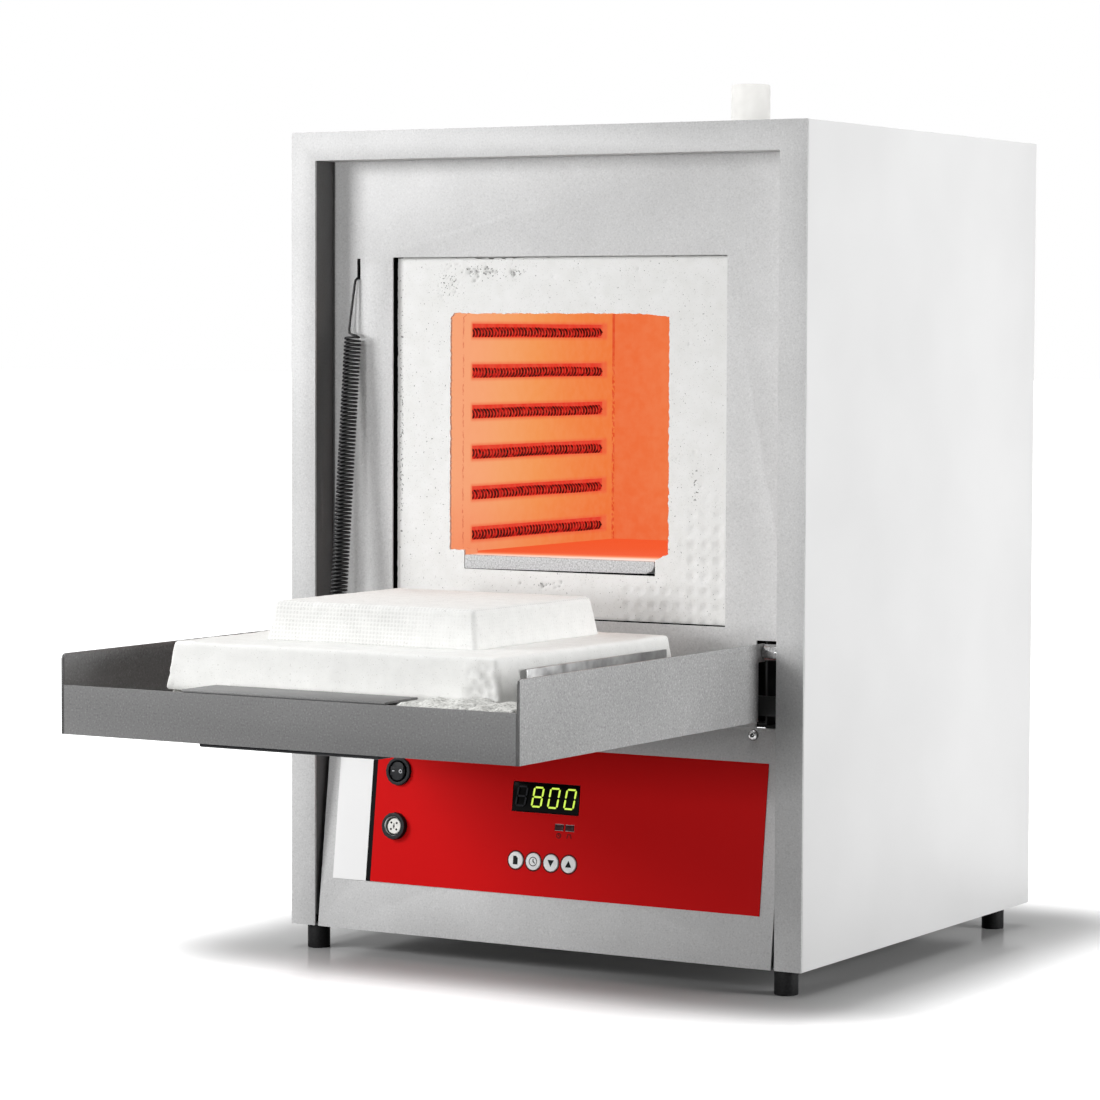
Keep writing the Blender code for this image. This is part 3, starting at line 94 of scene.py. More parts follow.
def on_panel(x, up, out=0.0):
    """The frame of a thing on the sloped panel: its X runs right, its Y up the slope, its Z out."""
    return SLOPE @ Matrix.Translation((x, -out, up)) @ Matrix.Rotation(math.pi / 2, 4, "X")


print("cabinet corner:", tuple(round(c, 5) for c in CABINET), "lean:", round(math.degrees(LEAN), 2))

# %% [markdown]
# ## The camera
#
# The camera comes first, because it decides which details are worth their faces. It stands to the
# right of the furnace with a long lens, a little above the middle, as a product photographer's does.

# %% Camera
EYE = Vector((1.2245, -2.09535, 0.4035))
YAW, PITCH, ROLL = -0.5339, -0.0567, 0.0039
ahead = Vector((math.sin(YAW) * math.cos(PITCH), math.cos(YAW) * math.cos(PITCH), math.sin(PITCH)))
right = Vector((math.cos(YAW), -math.sin(YAW), 0))
above = right.cross(ahead)
across = right * math.cos(ROLL) + above * math.sin(ROLL)
above = above * math.cos(ROLL) - right * math.sin(ROLL)
camera = bpy.data.objects.new("camera", bpy.data.cameras.new("camera"))
bpy.context.scene.collection.objects.link(camera)
camera.data.lens = 124.58
camera.data.sensor_width = 36
camera.matrix_world = Matrix.Translation(EYE) @ Matrix((across, above, -ahead)).transposed().to_4x4()
bpy.context.scene.camera = camera
print("camera looks along", tuple(round(c, 3) for c in ahead))

# %% [markdown]
# ## Small tools
#
# Nearly every piece below goes through the same few steps: a primitive is added, it is shaped in
# edit mode, its edges are bevelled, and then it is dressed with a material and tied to the body
# that carries it. These helpers keep those steps short.


# %% Select, edit and modify
def only(obj):
    """Makes obj the one thing that is selected and active."""
    bpy.ops.object.select_all(action="DESELECT")
    obj.select_set(True)
    bpy.context.view_layer.objects.active = obj


@contextmanager
def editing(obj):
    """Edit mode on one object."""
    only(obj)
    bpy.ops.object.mode_set(mode="EDIT")
    yield
    bpy.ops.object.mode_set(mode="OBJECT")


def pick(obj, kind, test):
    """In edit mode, selects only the faces, edges or vertices that pass the test."""
    bpy.ops.mesh.select_mode(type=kind)
    bpy.ops.mesh.select_all(action="DESELECT")
    bm = bmesh.from_edit_mesh(obj.data)
    for part in {"FACE": bm.faces, "EDGE": bm.edges, "VERT": bm.verts}[kind]:
        if test(part):
            part.select_set(True)
    bm.select_flush_mode()
    bmesh.update_edit_mesh(obj.data)


def modify(obj, kind, **settings):
    """Adds one modifier and applies it."""
    only(obj)
    modifier = obj.modifiers.new(kind.title(), kind)
    for key, value in settings.items():
        setattr(modifier, key, value)
    bpy.ops.object.modifier_apply(modifier=modifier.name)


def soften(obj, width_mm, segments=2):
    """Rounds the edges that turn by more than 30 degrees."""
    modify(obj, "BEVEL", width=width_mm * MM, segments=segments, limit_method="ANGLE",
           angle_limit=math.radians(30))


# %% Make simple shapes to start from
def named(name):
    """Gives the new primitive its name."""
    obj = bpy.context.object
    obj.name = obj.data.name = name
    return obj


def settle(obj, matrix=None):
    """Moves a piece by a matrix and puts its place into its mesh."""
    only(obj)
    if matrix is not None:
        obj.matrix_world = matrix @ obj.matrix_world
    bpy.ops.object.transform_apply(location=True, rotation=True, scale=True)
    return obj


def mesh_object(name, points, edges, faces):
    """A new object from points, which edit mode then works on."""
    mesh = bpy.data.meshes.new(name)
    mesh.from_pydata(points, edges, faces)
    obj = bpy.data.objects.new(name, mesh)
    bpy.context.scene.collection.objects.link(obj)
    return obj


def plate(name, points, low, high):
    """A flat outline in X and Y, extruded from height low to height high."""
    obj = mesh_object(name, [(x, y, low) for x, y in points], [], [range(len(points))])
    with editing(obj):
        bpy.ops.mesh.select_all(action="SELECT")
        bpy.ops.mesh.extrude_region_move(TRANSFORM_OT_translate={"value": (0, 0, high - low)})
        bpy.ops.mesh.select_all(action="SELECT")
        bpy.ops.mesh.normals_make_consistent(inside=False)
    return obj


def spun(name, profile, sides=32):
    """A profile of (radius, height) pairs, spun about Z into a closed round piece."""
    count = len(profile)
    obj = mesh_object(name, [(r, 0, h) for r, h in profile], [(i, i + 1) for i in range(count - 1)], [])
    with editing(obj):
        bpy.ops.mesh.select_all(action="SELECT")
        bpy.ops.mesh.spin(steps=sides, angle=2 * math.pi, center=(0, 0, 0), axis=(0, 0, 1))
        bpy.ops.mesh.select_all(action="SELECT")
        bpy.ops.mesh.remove_doubles(threshold=0.002 * MM)
        bpy.ops.mesh.normals_make_consistent(inside=False)
    return obj


def wire(name, points, radius, resolution=1):
    """A round wire along its points, made a mesh."""
    curve = bpy.data.curves.new(name, "CURVE")
    curve.dimensions = "3D"
    curve.bevel_depth = radius
    curve.bevel_resolution = resolution
    curve.use_fill_caps = True
    spline = curve.splines.new("POLY")
    spline.points.add(len(points) - 1)
    spline.points.foreach_set("co", [c for point in points for c in (*point, 1)])
    obj = bpy.data.objects.new(name, curve)
    bpy.context.scene.collection.objects.link(obj)
    only(obj)
    bpy.ops.object.convert(target="MESH")
    return named(name)


def copy_of(node, name):
    """A copy of a CAD node's mesh, merged, with its flat faces made whole again."""
    obj = bpy.data.objects.new(name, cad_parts[node].data.copy())
    bpy.context.scene.collection.objects.link(obj)
    obj.data.name = name
    obj.data.materials.clear()
    with editing(obj):
        bpy.ops.mesh.customdata_custom_splitnormals_clear()
        bpy.ops.mesh.select_all(action="SELECT")
        bpy.ops.mesh.remove_doubles(threshold=0.001 * MM)
        bpy.ops.mesh.dissolve_limited(angle_limit=math.radians(0.5))
    return obj


def edged(node, name, edge_mm, segments=3):
    """A copy of a CAD node's mesh with its edges rounded."""
    obj = copy_of(node, name)
    soften(obj, edge_mm, segments)
    return obj


# %% Work on many points at once
def points_of(obj):
    """The vertices of a mesh as rows of x, y, z."""
    flat = np.empty(len(obj.data.vertices) * 3)
    obj.data.vertices.foreach_get("co", flat)
    return flat.reshape(-1, 3)


def move_points(obj, points):
    """Puts the rows back as the mesh's vertices."""
    obj.data.vertices.foreach_set("co", points.ravel())
    obj.data.update()


def normals_of(obj):
    """The vertex normals as rows."""
    flat = np.empty(len(obj.data.vertices) * 3)
    obj.data.vertex_normals.foreach_get("vector", flat)
    return flat.reshape(-1, 3)


def in_cabinet(points):
    """The rows' x, y and z in the cabinet's frame."""
    return (points - np.array(CABINET)).T


def held(values):
    """Values held between 0 and 1."""
    return np.clip(values, 0, 1)


def near_line(value, line, reach=0.0008):
    """True where a value lies within reach of a line."""
    return np.abs(value - line) < reach


def roughness_at(points, size_mm, seed=0):
    """A smooth noise from -1 to 1 whose bumps are about size_mm apart."""
    scale = 1000 / size_mm
    return np.array([noise.noise(Vector(p) * scale + Vector((seed, seed, seed))) for p in points])


def roughen(obj, layers):
    """Moves every point along its normal by layers of noise: (size in mm, height in mm, seed)."""
    points = points_of(obj)
    push = sum(height * MM * roughness_at(points, size, seed) for size, height, seed in layers)
    move_points(obj, points + normals_of(obj) * push[:, None])


def mark_hollows(obj, depth):
    """Keeps how hollow each point is, from 0 to 1, for the material to darken as painted shade."""
    layer = obj.data.attributes.get("hollow_shade") or obj.data.attributes.new("hollow_shade", "FLOAT", "POINT")
    layer.data.foreach_set("value", held(depth))


# %% [markdown]
# ## Materials
#
# Every finish starts from what the real one is. Powder coat is a plastic skin over steel with a
# fine grit in it. The hot box is ceramic fibre board, pale, dry and porous. Where it glows, the
# board itself gives the light, and the colour changes from the mouth to the back wall.
# Colours are written as on a screen, and one function turns them to the linear values that
# Blender works with. One function adds a node, with its settings and its links, to the tree of
# the socket or node that it is given. The others are short names for the nodes used most.

# %% Colours and nodes
MATERIALS = {}


def rgb(code):
    """An sRGB hex value as a linear colour."""
    channels = [int(code[i:i + 2], 16) / 255 for i in (0, 2, 4)]
    return (*[c / 12.92 if c <= 0.04045 else ((c + 0.055) / 1.055) ** 2.4 for c in channels], 1.0)


def add(near, kind, inputs=None, **settings):
    """One node in near's own tree, with its settings, and its inputs as values or as links."""
    tree = near.id_data
    node = tree.nodes.new("ShaderNode" + kind)
    for key, value in settings.items():
        setattr(node, key, value)
    for key, value in (inputs or {}).items():
        if isinstance(value, bpy.types.NodeSocket):
            tree.links.new(value, node.inputs[key])
        else:
            node.inputs[key].default_value = value
    return node


def start(name, code, roughness, metallic=0.0, **sockets):
    """A new material with its plain values. Returns its shader and its Object place."""
    material = bpy.data.materials.new(name)
    material.use_nodes = True
    shader = material.node_tree.nodes["Principled BSDF"]
    values = {"Base Color": rgb(code), "Roughness": roughness, "Metallic": metallic}
    values.update({key.replace("_", " "): value for key, value in sockets.items()})
    for key, value in values.items():
        shader.inputs[key].default_value = value
    MATERIALS[name] = material
    return shader, add(shader, "TexCoord").outputs["Object"]


def grain(place, size_mm, detail=2.0):
    """Noise whose grains are about size_mm across."""
    return add(place, "TexNoise", {"Vector": place, "Scale": 1000 / size_mm, "Detail": detail}).outputs["Fac"]


def ramp(factor, stops, step=False):
    """Colours along a factor, as (place, hex) pairs."""
    node = add(factor, "ValToRGB", {"Fac": factor})
    node.color_ramp.interpolation = "CONSTANT" if step else "LINEAR"
    elements = node.color_ramp.elements
    while len(elements) < len(stops):
        elements.new(0.5)
    for element, (place, code) in zip(elements, stops):
        element.position = place
        element.color = rgb(code)
    return node.outputs["Color"]


# %% Sums of values
def reckon(operation, first, second=0.0):
    """One sum of two values, at least one of them from a node."""
    near = first if isinstance(first, bpy.types.NodeSocket) else second
    return add(near, "Math", {0: first, 1: second}, operation=operation).outputs["Value"]


def times(*parts):
    """All parts multiplied, so that a place has to pass every one of them."""
    return reduce(lambda first, second: reckon("MULTIPLY", first, second), parts)


def past(value, line):
    """1 where a value is greater than the line, and 0 elsewhere."""
    return reckon("GREATER_THAN", value, line)


def short_of(value, line):
    """1 where a value is less than the line, and 0 elsewhere."""
    return reckon("LESS_THAN", value, line)


def flip(value):
    """1 less the value."""
    return reckon("SUBTRACT", 1.0, value)


def span(value, low, high):
    """0 up to low, 1 from high on, and smooth between."""
    return add(value, "MapRange", {"Value": value, "From Min": low, "From Max": high},
               interpolation_type="SMOOTHSTEP").outputs["Result"]


def axes(place):
    """The x, y and z of a place."""
    outputs = add(place, "SeparateXYZ", {"Vector": place}).outputs
    return outputs["X"], outputs["Y"], outputs["Z"]


def arrow(operation, first, second=(0, 0, 0)):
    """One sum of two vectors: a vector, or a value for a length."""
    outputs = add(first, "VectorMath", {0: first, 1: second}, operation=operation).outputs
    return outputs["Value" if operation == "LENGTH" else "Vector"]


# %% Colours over colours, and what the shader takes from them
def blend(factor, first, second):
    """Two colours mixed by a factor."""
    return add(factor, "Mix", {0: factor, 6: first, 7: second}, data_type="RGBA").outputs[2]


def tint(first, second):
    """Two colours multiplied, as ink over paint."""
    return add(first, "Mix", {0: 1.0, 6: first, 7: second}, data_type="RGBA", blend_type="MULTIPLY").outputs[2]


def colour_by(shader, colour, socket="Base Color"):
    """Lets a pattern set the shader's colour, or another of its sockets."""
    shader.id_data.links.new(colour, shader.inputs[socket])


def shine_by(shader, colour):
    """Lets a pattern give off its own light."""
    colour_by(shader, colour, "Emission Color")
    shader.inputs["Emission Strength"].default_value = 1.0


def raise_by(shader, height, depth_mm):
    """Small relief from a height, on top of what is there already."""
    bump = add(shader, "Bump", {"Height": height, "Distance": depth_mm * MM})
    normal = shader.inputs["Normal"]
    if normal.links:
        shader.id_data.links.new(normal.links[0].from_socket, bump.inputs["Normal"])
    colour_by(shader, bump.outputs["Normal"], "Normal")


# %% [markdown]
# ### Paints
#
# The front is a silver-grey powder coat with a fine dark and light grit. The door has the same
# coat in a darker grey. The case is a smooth white coat with a rare dark speck in it.
# The real grit is about 0.4 mm; it is drawn at 1.1 mm, because finer would not show.


# %% Powder coats
def powder_coat(name, dark, middle, light, relief, shine):
    """A gritty powder coat between three greys. Returns what a change to its colour needs."""
    shader, place = start(name, middle, 0.5, 0.0, IOR=1.5, Specular_IOR_Level=shine)
    fine = grain(place, 1.1, 1.0)
    grit = ramp(fine, [(0.30, dark), (0.44, middle), (0.58, middle), (0.72, light)])
    coat = tint(grit, ramp(grain(place, 60), [(0.3, "F2F2F2"), (0.7, "FFFFFF")]))
    raise_by(shader, fine, relief)
    raise_by(shader, grain(place, 2.6, 1.0), relief)
    colour_by(shader, ramp(fine, [(0.3, "A8A8A8"), (0.7, "BEBEBE")]), "Roughness")
    return shader, axes(place), coat


# The inner side of the opening's left stile is painted darker, as painted shade, and the two tabs
# that stop the door are painted black, as painted shade in the gap round them.
OPENING_HALF, STOP_LOW, STOP_HIGH, STOP_BACK = 0.169, 0.1545, 0.1695, 0.0205
shader, (x, y, z), coat = powder_coat("silver_powder_coat", "C6C6C6", "D1D1D1", "DBDBDB", 0.035, 0.3)
inner = times(short_of(x, 0.0014 - OPENING_HALF), past(y, y_at(0.0016)))
stop = times(short_of(reckon("ABSOLUTE", x), OPENING_HALF - 0.0001), past(z, z_at(STOP_LOW)),
             short_of(z, z_at(STOP_HIGH)), short_of(y, y_at(STOP_BACK)))
colour_by(shader, blend(stop, blend(inner, coat, tint(coat, rgb("8A8A8A"))), rgb("070707")))

# The tray's flanges meet at its front corners without a weld, and the joint shows as a black line.
# The outer side of its right flange is painted paler than the rest, as painted light from the right.
TRAY_HALF, TRAY_FRONT, JOINT, FLANGE_LIGHT = 0.157, -0.283, 0.0020, 2.6
shader, (x, y, z), coat = powder_coat("dark_powder_coat", "585858", "686868", "7C7C7C", 0.06, 0.5)
coat = blend(past(x, TRAY_HALF - 0.0005), coat, tint(coat, (FLANGE_LIGHT, FLANGE_LIGHT, FLANGE_LIGHT, 1.0)))
joint = times(past(reckon("ABSOLUTE", x), TRAY_HALF - JOINT), short_of(y, y_at(TRAY_FRONT + JOINT * 0.5)))
colour_by(shader, blend(joint, coat, rgb("0A0A0A")))

shader, place = start("white_powder_coat", "F0F0F0", 0.42)
speck = add(place, "TexVoronoi", {"Vector": place, "Scale": 1000 / 26, "Randomness": 1.0}).outputs
near = add(place, "MapRange", {"Value": speck["Distance"], "From Min": 0.012, "From Max": 0.022})
mark = times(past(axes(speck["Color"])[0], 0.82), flip(near.outputs["Result"]))
paint = ramp(grain(place, 90), [(0.3, "E4E4E4"), (0.7, "E9E9E9")])
colour_by(shader, blend(mark, paint, rgb("8A8A8A")))
raise_by(shader, grain(place, 2.2, 1.0), 0.02)
print("paints:", len(MATERIALS))

# %% [markdown]
# ### Metals
#
# The retaining angles are zinc plated, with strong soft clouds. The base and the back are duller
# galvanised sheet. Bolts and screws are polished steel, and the spring is blackened wire with a
# little oil on it. The heater wire is oxidised black, and shows red where it glows.

# %% Zinc
for name, roughness, metallic, size, clouds, gloss, relief in (
        ("zinc_plated_steel", 0.42, 0.7, 14, ("727272", "929292", "ACACAC"), ("909090", "B0B0B0"), 0.22),
        ("galvanised_sheet", 0.55, 0.35, 11, ("8A8C8E", "96989A", "A2A4A6"), ("B8B8B8", "CACACA"), 0.03)):
    shader, place = start(name, clouds[1], roughness, metallic)
    cloud = grain(place, size, 3.0)
    colour_by(shader, ramp(cloud, list(zip((0.32, 0.5, 0.68), clouds))))
    colour_by(shader, ramp(cloud, list(zip((0.3, 0.7), gloss))), "Roughness")
    raise_by(shader, grain(place, 9), relief)

# %% Steel and heater wire
shader, place = start("polished_steel", "A0A0A0", 0.2, 1.0)
turning = grain(place, 1.5, 3.0)
colour_by(shader, ramp(turning, [(0.3, "808080"), (0.7, "B8B8B8")]))
raise_by(shader, turning, 0.01)

shader, place = start("blackened_spring_wire", "0A0A0B", 0.38, Specular_IOR_Level=0.3)
colour_by(shader, ramp(grain(place, 1.4), [(0.35, "070708"), (0.7, "161618")]))
raise_by(shader, grain(place, 0.9), 0.02)

# A coil is barred dark and red on the side that faces the chamber, and an even bright red behind.
COIL_X, COIL_FLAT = 0.0912, 0.0017
shader, place = start("oxidised_heater_wire", "0E0403", 0.8)
colour_by(shader, ramp(grain(place, 1.5), [(0.35, "080202"), (0.7, "1A0705")]))
bars = ramp(grain(place, 3.4), [(0.34, "240303"), (0.5, "620B0A"), (0.64, "BC1A16")])
behind = span(reckon("ABSOLUTE", axes(place)[0]), COIL_X - COIL_FLAT * 0.35, COIL_X + COIL_FLAT * 0.2)
shine_by(shader, blend(behind, bars, rgb("E02A20")))

# The steel of the hot box's shell, its back plate and the bridge is painted near black, as painted shade for the dark
# gaps where it shows.
shader, place = start("shade_black_steel", "242424", 0.7, Specular_IOR_Level=0.2)
colour_by(shader, ramp(grain(place, 12), [(0.3, "1C1C1C"), (0.7, "303030")]))
raise_by(shader, grain(place, 6), 0.05)

shader, place = start("socket_shade_steel", "0B0B0C", 0.5, 0.3)
raise_by(shader, grain(place, 0.8), 0.02)
print("materials so far:", list(MATERIALS))

# %% [markdown]
# ### Fibre board, cold and hot
#
# Cold board is off-white with fine fibres and small pits, and its pits are darkened as painted shade.
# The same board glows in the chamber: its own light is read from the place in the furnace, orange at
# the front of the walls and redder towards the back. A darker red round each row of the heater and
# deeper in its grooves is painted shade.


# %% Cold fibre board
def board_skin(shader, place, pale, white, crumbs_mm=1.2, relief=0.12):
    """The pale, dry face of a fibre board, darkened in its pits as painted shade."""
    mottle = ramp(grain(place, 9, 3.0), [(0.3, pale), (0.7, white)])
    dust = ramp(grain(place, 0.9), [(0.24, "D8D7D5"), (0.36, "FFFFFF")])
    raise_by(shader, grain(place, crumbs_mm, 3.0), relief)
    raise_by(shader, grain(place, 3.5), 0.08)
    # The hollows are darkened towards near black, as painted shade.
    hollow_shade = add(place, "Attribute", attribute_name="hollow_shade").outputs["Fac"]
    return blend(hollow_shade, tint(mottle, dust), rgb("3A3836"))


shader, place = start("ceramic_fibre_board", "E6E6E4", 0.95, Specular_IOR_Level=0.2)
colour_by(shader, board_skin(shader, place, "E4E4E2", "EAEAE8"))
shader, place = start("torn_fibre_blanket", "D8D7D4", 1.0, Specular_IOR_Level=0.1)
tuft = ramp(grain(place, 1.9, 3.0), [(0.34, "B4B4B2"), (0.47, "DEDEDC"), (0.62, "EEEEEC")])
colour_by(shader, tint(board_skin(shader, place, "EEEEEC", "F4F4F2", 1.8, 0.6), tuft))

# %% Glowing fibre board
CHAMBER_HALF, CHAMBER_BACK, THROAT_END = 0.088, 0.252, 0.0420
ROW_TOP, ROW_PITCH, ROWS, ROW_START, ROW_END, GROOVE_MIDDLE = 0.3890, 0.0266, 6, 0.064, 0.239, 0.0010


def glow(place, clean_front, clean_low):
    """The colour and the strength of the light that hot board gives off, by its place."""
    x, y, z = axes(place)
    side, back, throat = reckon("ABSOLUTE", x), y_at(CHAMBER_BACK), y_at(THROAT_END)
    wall = ramp(span(y, y_at(0.040), back), [(0.0, "F5A478"), (0.2, "F3A26A"), (0.5, "F19654"), (1.0, "EE7A3C")])
    rear = ramp(span(x, -CHAMBER_HALF, CHAMBER_HALF), [(0.0, "EC6E3C"), (0.5, "EC7E48"), (1.0, "EE8A54")])
    colour = blend(past(y, back - 0.0002), wall, rear)
    low = reckon("SUBTRACT", 0.35, times(span(z, z_at(0.240), z_at(0.300)), 0.35))
    colour = blend(low, colour, rgb("EE5A30"))

    # A darker red round each row of the heater is painted shade.
    turn = reckon("DIVIDE", reckon("SUBTRACT", z_at(ROW_TOP + GROOVE_MIDDLE), z), ROW_PITCH)
    nearest = reckon("ABSOLUTE", reckon("SUBTRACT", turn, reckon("ROUND", turn)))
    rows = short_of(reckon("ABSOLUTE", reckon("SUBTRACT", turn, (ROWS - 1) / 2)), ROWS / 2)
    row_shade = times(flip(span(nearest, 0.15, 0.27)), span(y, y_at(ROW_START - 0.004), y_at(ROW_START)),
                 flip(span(y, y_at(ROW_END), y_at(ROW_END + 0.004))),
                 span(side, CHAMBER_HALF - 0.004, CHAMBER_HALF - 0.0005), rows, 0.8)
    colour = blend(row_shade, colour, rgb("EC5C3A"))
    # Deeper in the grooves the glow turns darker red, as painted shade.
    colour = blend(span(side, CHAMBER_HALF + 0.0018, CHAMBER_HALF + 0.0050), colour, rgb("E23626"))

    dots = span(grain(place, 2.6), 0.38, 0.56)
    seam = times(span(y, back - 0.0046, back - 0.0030), short_of(y, back - 0.0002),
                 reckon("MAXIMUM", dots, span(z, z_at(0.350), z_at(0.385))), 0.85)
    colour = blend(seam, colour, rgb("D83A1C"))
    edge = times(span(y, throat - 0.0016, throat - 0.0010), short_of(y, throat + 0.0001), dots, 0.55)
    colour = blend(edge, colour, rgb("C03C28"))
    colour = blend(times(span(grain(place, 6, 3.0), 0.2, 0.8), 0.10), colour, rgb("FFB98A"))

    mask = times(span(y, y_at(clean_front), y_at(clean_front + 0.0020)), short_of(y, back + 0.004),
                 short_of(side, CHAMBER_HALF + 0.011), past(z, z_at(clean_low)), short_of(z, z_at(0.4065)))
    return colour, mask


# %% Board that is cold in front and hot behind, with specks in crowds
SPECK_FIELDS = ((-0.060, 0.4275, 0.020, 0.0055), (-0.083, 0.4190, 0.010, 0.0110), (-0.036, 0.4270, 0.014, 0.0040),
                (-0.1185, 0.3300, 0.0022, 0.1200), (-0.010, 0.2286, 0.014, 0.0022), (0.0984, 0.2915, 0.0035, 0.0190))


def hot_board(name, clean_front, clean_low):
    """Fibre board that is cold and white outside the chamber and glows inside it."""
    shader, place = start(name, "F4F4F2", 0.95, Specular_IOR_Level=0.2)
    colour, mask = glow(place, clean_front, clean_low)
    x, y, z = axes(place)
    crowd = 0.0
    for middle_x, middle_z, half_x, half_z in SPECK_FIELDS:
        off = arrow("SUBTRACT", place, (middle_x, 0, z_at(middle_z)))
        far = arrow("LENGTH", arrow("MULTIPLY", off, (1 / half_x, 0, 1 / half_z)))
        crowd = reckon("MAXIMUM", crowd, flip(span(far, 0.4, 1.1)))
    # Dark specks, crowded where the pits are, are painted shade of the small pits.
    specks = past(grain(place, 1.5), reckon("SUBTRACT", 0.715, times(crowd, 0.105)))
    face = blend(times(specks, 0.75), board_skin(shader, place, "E8E8E6", "EEEEED"), rgb("4A4846"))
    # Behind the front face, the board below the glow and the step hidden behind the panel are painted near black, as
    # painted shade.
    shade_below = times(past(y, y_at(clean_front + 0.0008)), short_of(z, z_at(clean_low)))
    behind = times(past(y, y_at(0.0330)), past(reckon("ABSOLUTE", x), 0.1225))
    cold = blend(reckon("MAXIMUM", shade_below, behind), face, rgb("100E0D"))
    colour_by(shader, blend(mask, cold, rgb("1C0A05")))
    shine_by(shader, blend(mask, rgb("000000"), colour))


hot_board("glowing_fibre_board", 0.0415, 0.2372)
hot_board("mouth_fibre_board", 0.0262, 0.2456)

# %% [markdown]
# ### The hearth tile
#
# A grey refractory tile, granular like coarse biscuit. Its front edge stands in the cold, and its top
# takes the colour of the heat within a few millimetres. The pale pink at the front of its top is
# painted light where the lamps fall on it, added to the glow.

# %% Tile
shader, place = start("granular_refractory_tile", "CFCFCD", 0.92)
x, y, z = axes(place)
crumb = ramp(grain(place, 1.0, 3.0), [(0.30, "A2A3A4"), (0.46, "C4C5C6"), (0.66, "DCDDDE")])
raise_by(shader, grain(place, 1.0, 3.0), 0.15)
heat = times(span(y, y_at(0.0262), y_at(0.0290)), span(z, z_at(0.2440), z_at(0.2453)))
slanted = reckon("SUBTRACT", y, times(x, 0.14))
# The pale pink at the front of the top is painted light from the lamps, added to the glow.
warm = ramp(span(slanted, y_at(0.024), y_at(0.080)),
            [(0.0, "FBE4DA"), (0.25, "F9C8B2"), (0.6, "F28252"), (1.0, "EC5428")])
colour_by(shader, blend(heat, crumb, rgb("1C0A05")))
shine_by(shader, blend(heat, rgb("000000"), warm))

# %% [markdown]
# ### Plastics, ceramic, glass and print
#
# The rest is small: moulded black ABS, glazed ceramic, a printed polyester film, a smoked acrylic
# window with green digits behind it, silicone keys and rubber feet. A film is printed from
# behind, so its white strip and black line are steps of one flat colour along X.

# %% Plastics, ceramics and prints
for name, low, high, roughness, shine, size, relief in (
        ("moulded_black_abs", "17181A", "222326", 0.42, 0.12, 1.2, 0.03),
        ("textured_black_rubber", "0E0E0F", "1B1B1C", 0.55, 0.12, 1.6, 0.08),
        ("glazed_ceramic", "DAD9D6", "E2E1DE", 0.38, 0.12, 14, 0.03),
        ("cream_moulded_plastic", "E9E8E2", "F1F0EC", 0.45, 0.12, 2, 0.02),
        ("green_circuit_laminate", "1C5632", "236A3E", 0.4, 0.12, 3, 0.03),
        ("white_silicone_rubber", "F8F8F8", "FFFFFF", 0.45, 0.12, 3, 0.01),
        ("white_print", "C9CCCE", "DADCDE", 0.6, 0.12, 1, 0.01),
        ("black_print_and_hole_shade", "0C0C0D", "151516", 0.6, 0.12, 1, 0.01),
        ("dark_red_print", "460808", "560C0C", 0.6, 0.12, 1, 0.01),
        ("smoked_red_lens", "2A080C", "380C12", 0.3, 0.12, 2, 0.01),
        ("smoked_acrylic", "030303", "070707", 0.16, 0.03, 20, 0),
        ("unlit_segment", "121316", "1C1D22", 0.4, 0.1, 2.5, 0)):
    shader, place = start(name, low, roughness, Specular_IOR_Level=shine)
    colour_by(shader, ramp(grain(place, size), [(0.3, low), (0.7, high)]))
    if relief:
        raise_by(shader, grain(place, size), relief)

# %% Printed film and lit digits
STRIP_EDGE, LINE_EDGE, FILM_END = -0.1315, -0.1279, 0.1236
INK_LEFT, INK_RIGHT = -0.16, -0.10
shader, place = start("printed_polyester_film", "C5181B", 0.36, Specular_IOR_Level=0.04)
x, y, z = axes(place)
inks = add(place, "MapRange", {"Value": x, "From Min": INK_LEFT, "From Max": INK_RIGHT}).outputs["Result"]
steps = [((edge - INK_LEFT) / (INK_RIGHT - INK_LEFT), code)
         for edge, code in ((INK_LEFT, "F8F8F8"), (STRIP_EDGE, "0D0D0E"), (LINE_EDGE, "D41214"))]
end = times(short_of(x, LINE_EDGE), past(z, z_at(FILM_END * math.cos(LEAN))))
colour_by(shader, blend(end, ramp(inks, steps, step=True), rgb("0D0D0E")))
raise_by(shader, grain(place, 1.0, 1.0), 0.008)

shader, place = start("lit_segment", "3A4A10", 0.5)
shine_by(shader, ramp(grain(place, 2.5), [(0.3, "C4E63A"), (0.7, "DDF95A")]))
print("materials:", len(MATERIALS))

# %% [markdown]
# ## Dressing a piece
#
# A finished piece sits at the origin with its place in its mesh. It gets smooth shading with
# sharp corners kept, its material, the body that it rides on, and the CAD nodes it stands for.


# %% Dress, join and report
def skin(obj, material):
    """One material on the whole mesh."""
    obj.data.materials.clear()
    obj.data.materials.append(MATERIALS[material])
    return obj


def join(name, pieces):
    """Several meshes made one piece, each with the material that it has."""
    only(pieces[0])
    for piece in pieces[1:]:
        piece.select_set(True)
    if len(pieces) > 1:
        bpy.ops.object.join()
    return named(name)


def dress(obj, body, slot, *nodes, material=None, angle=35):
    """Finishes a piece and ties it to its body."""
    if material:
        skin(obj, material)
    settle(obj)
    bpy.ops.object.shade_smooth_by_angle(angle=math.radians(angle))
    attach(obj, body)
    if nodes:
        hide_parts(*nodes)
    print(obj.name, "faces:", len(obj.data.polygons))
    return obj


# %% [markdown]
# ## Folded sheet metal
#
# Every sheet was cut flat and folded, and its paint is thick enough to round the cut edges. A
# copy of the CAD sheet is bevelled by a few tenths of a millimetre. That is nothing in size, but
# it is what catches the light along each edge.

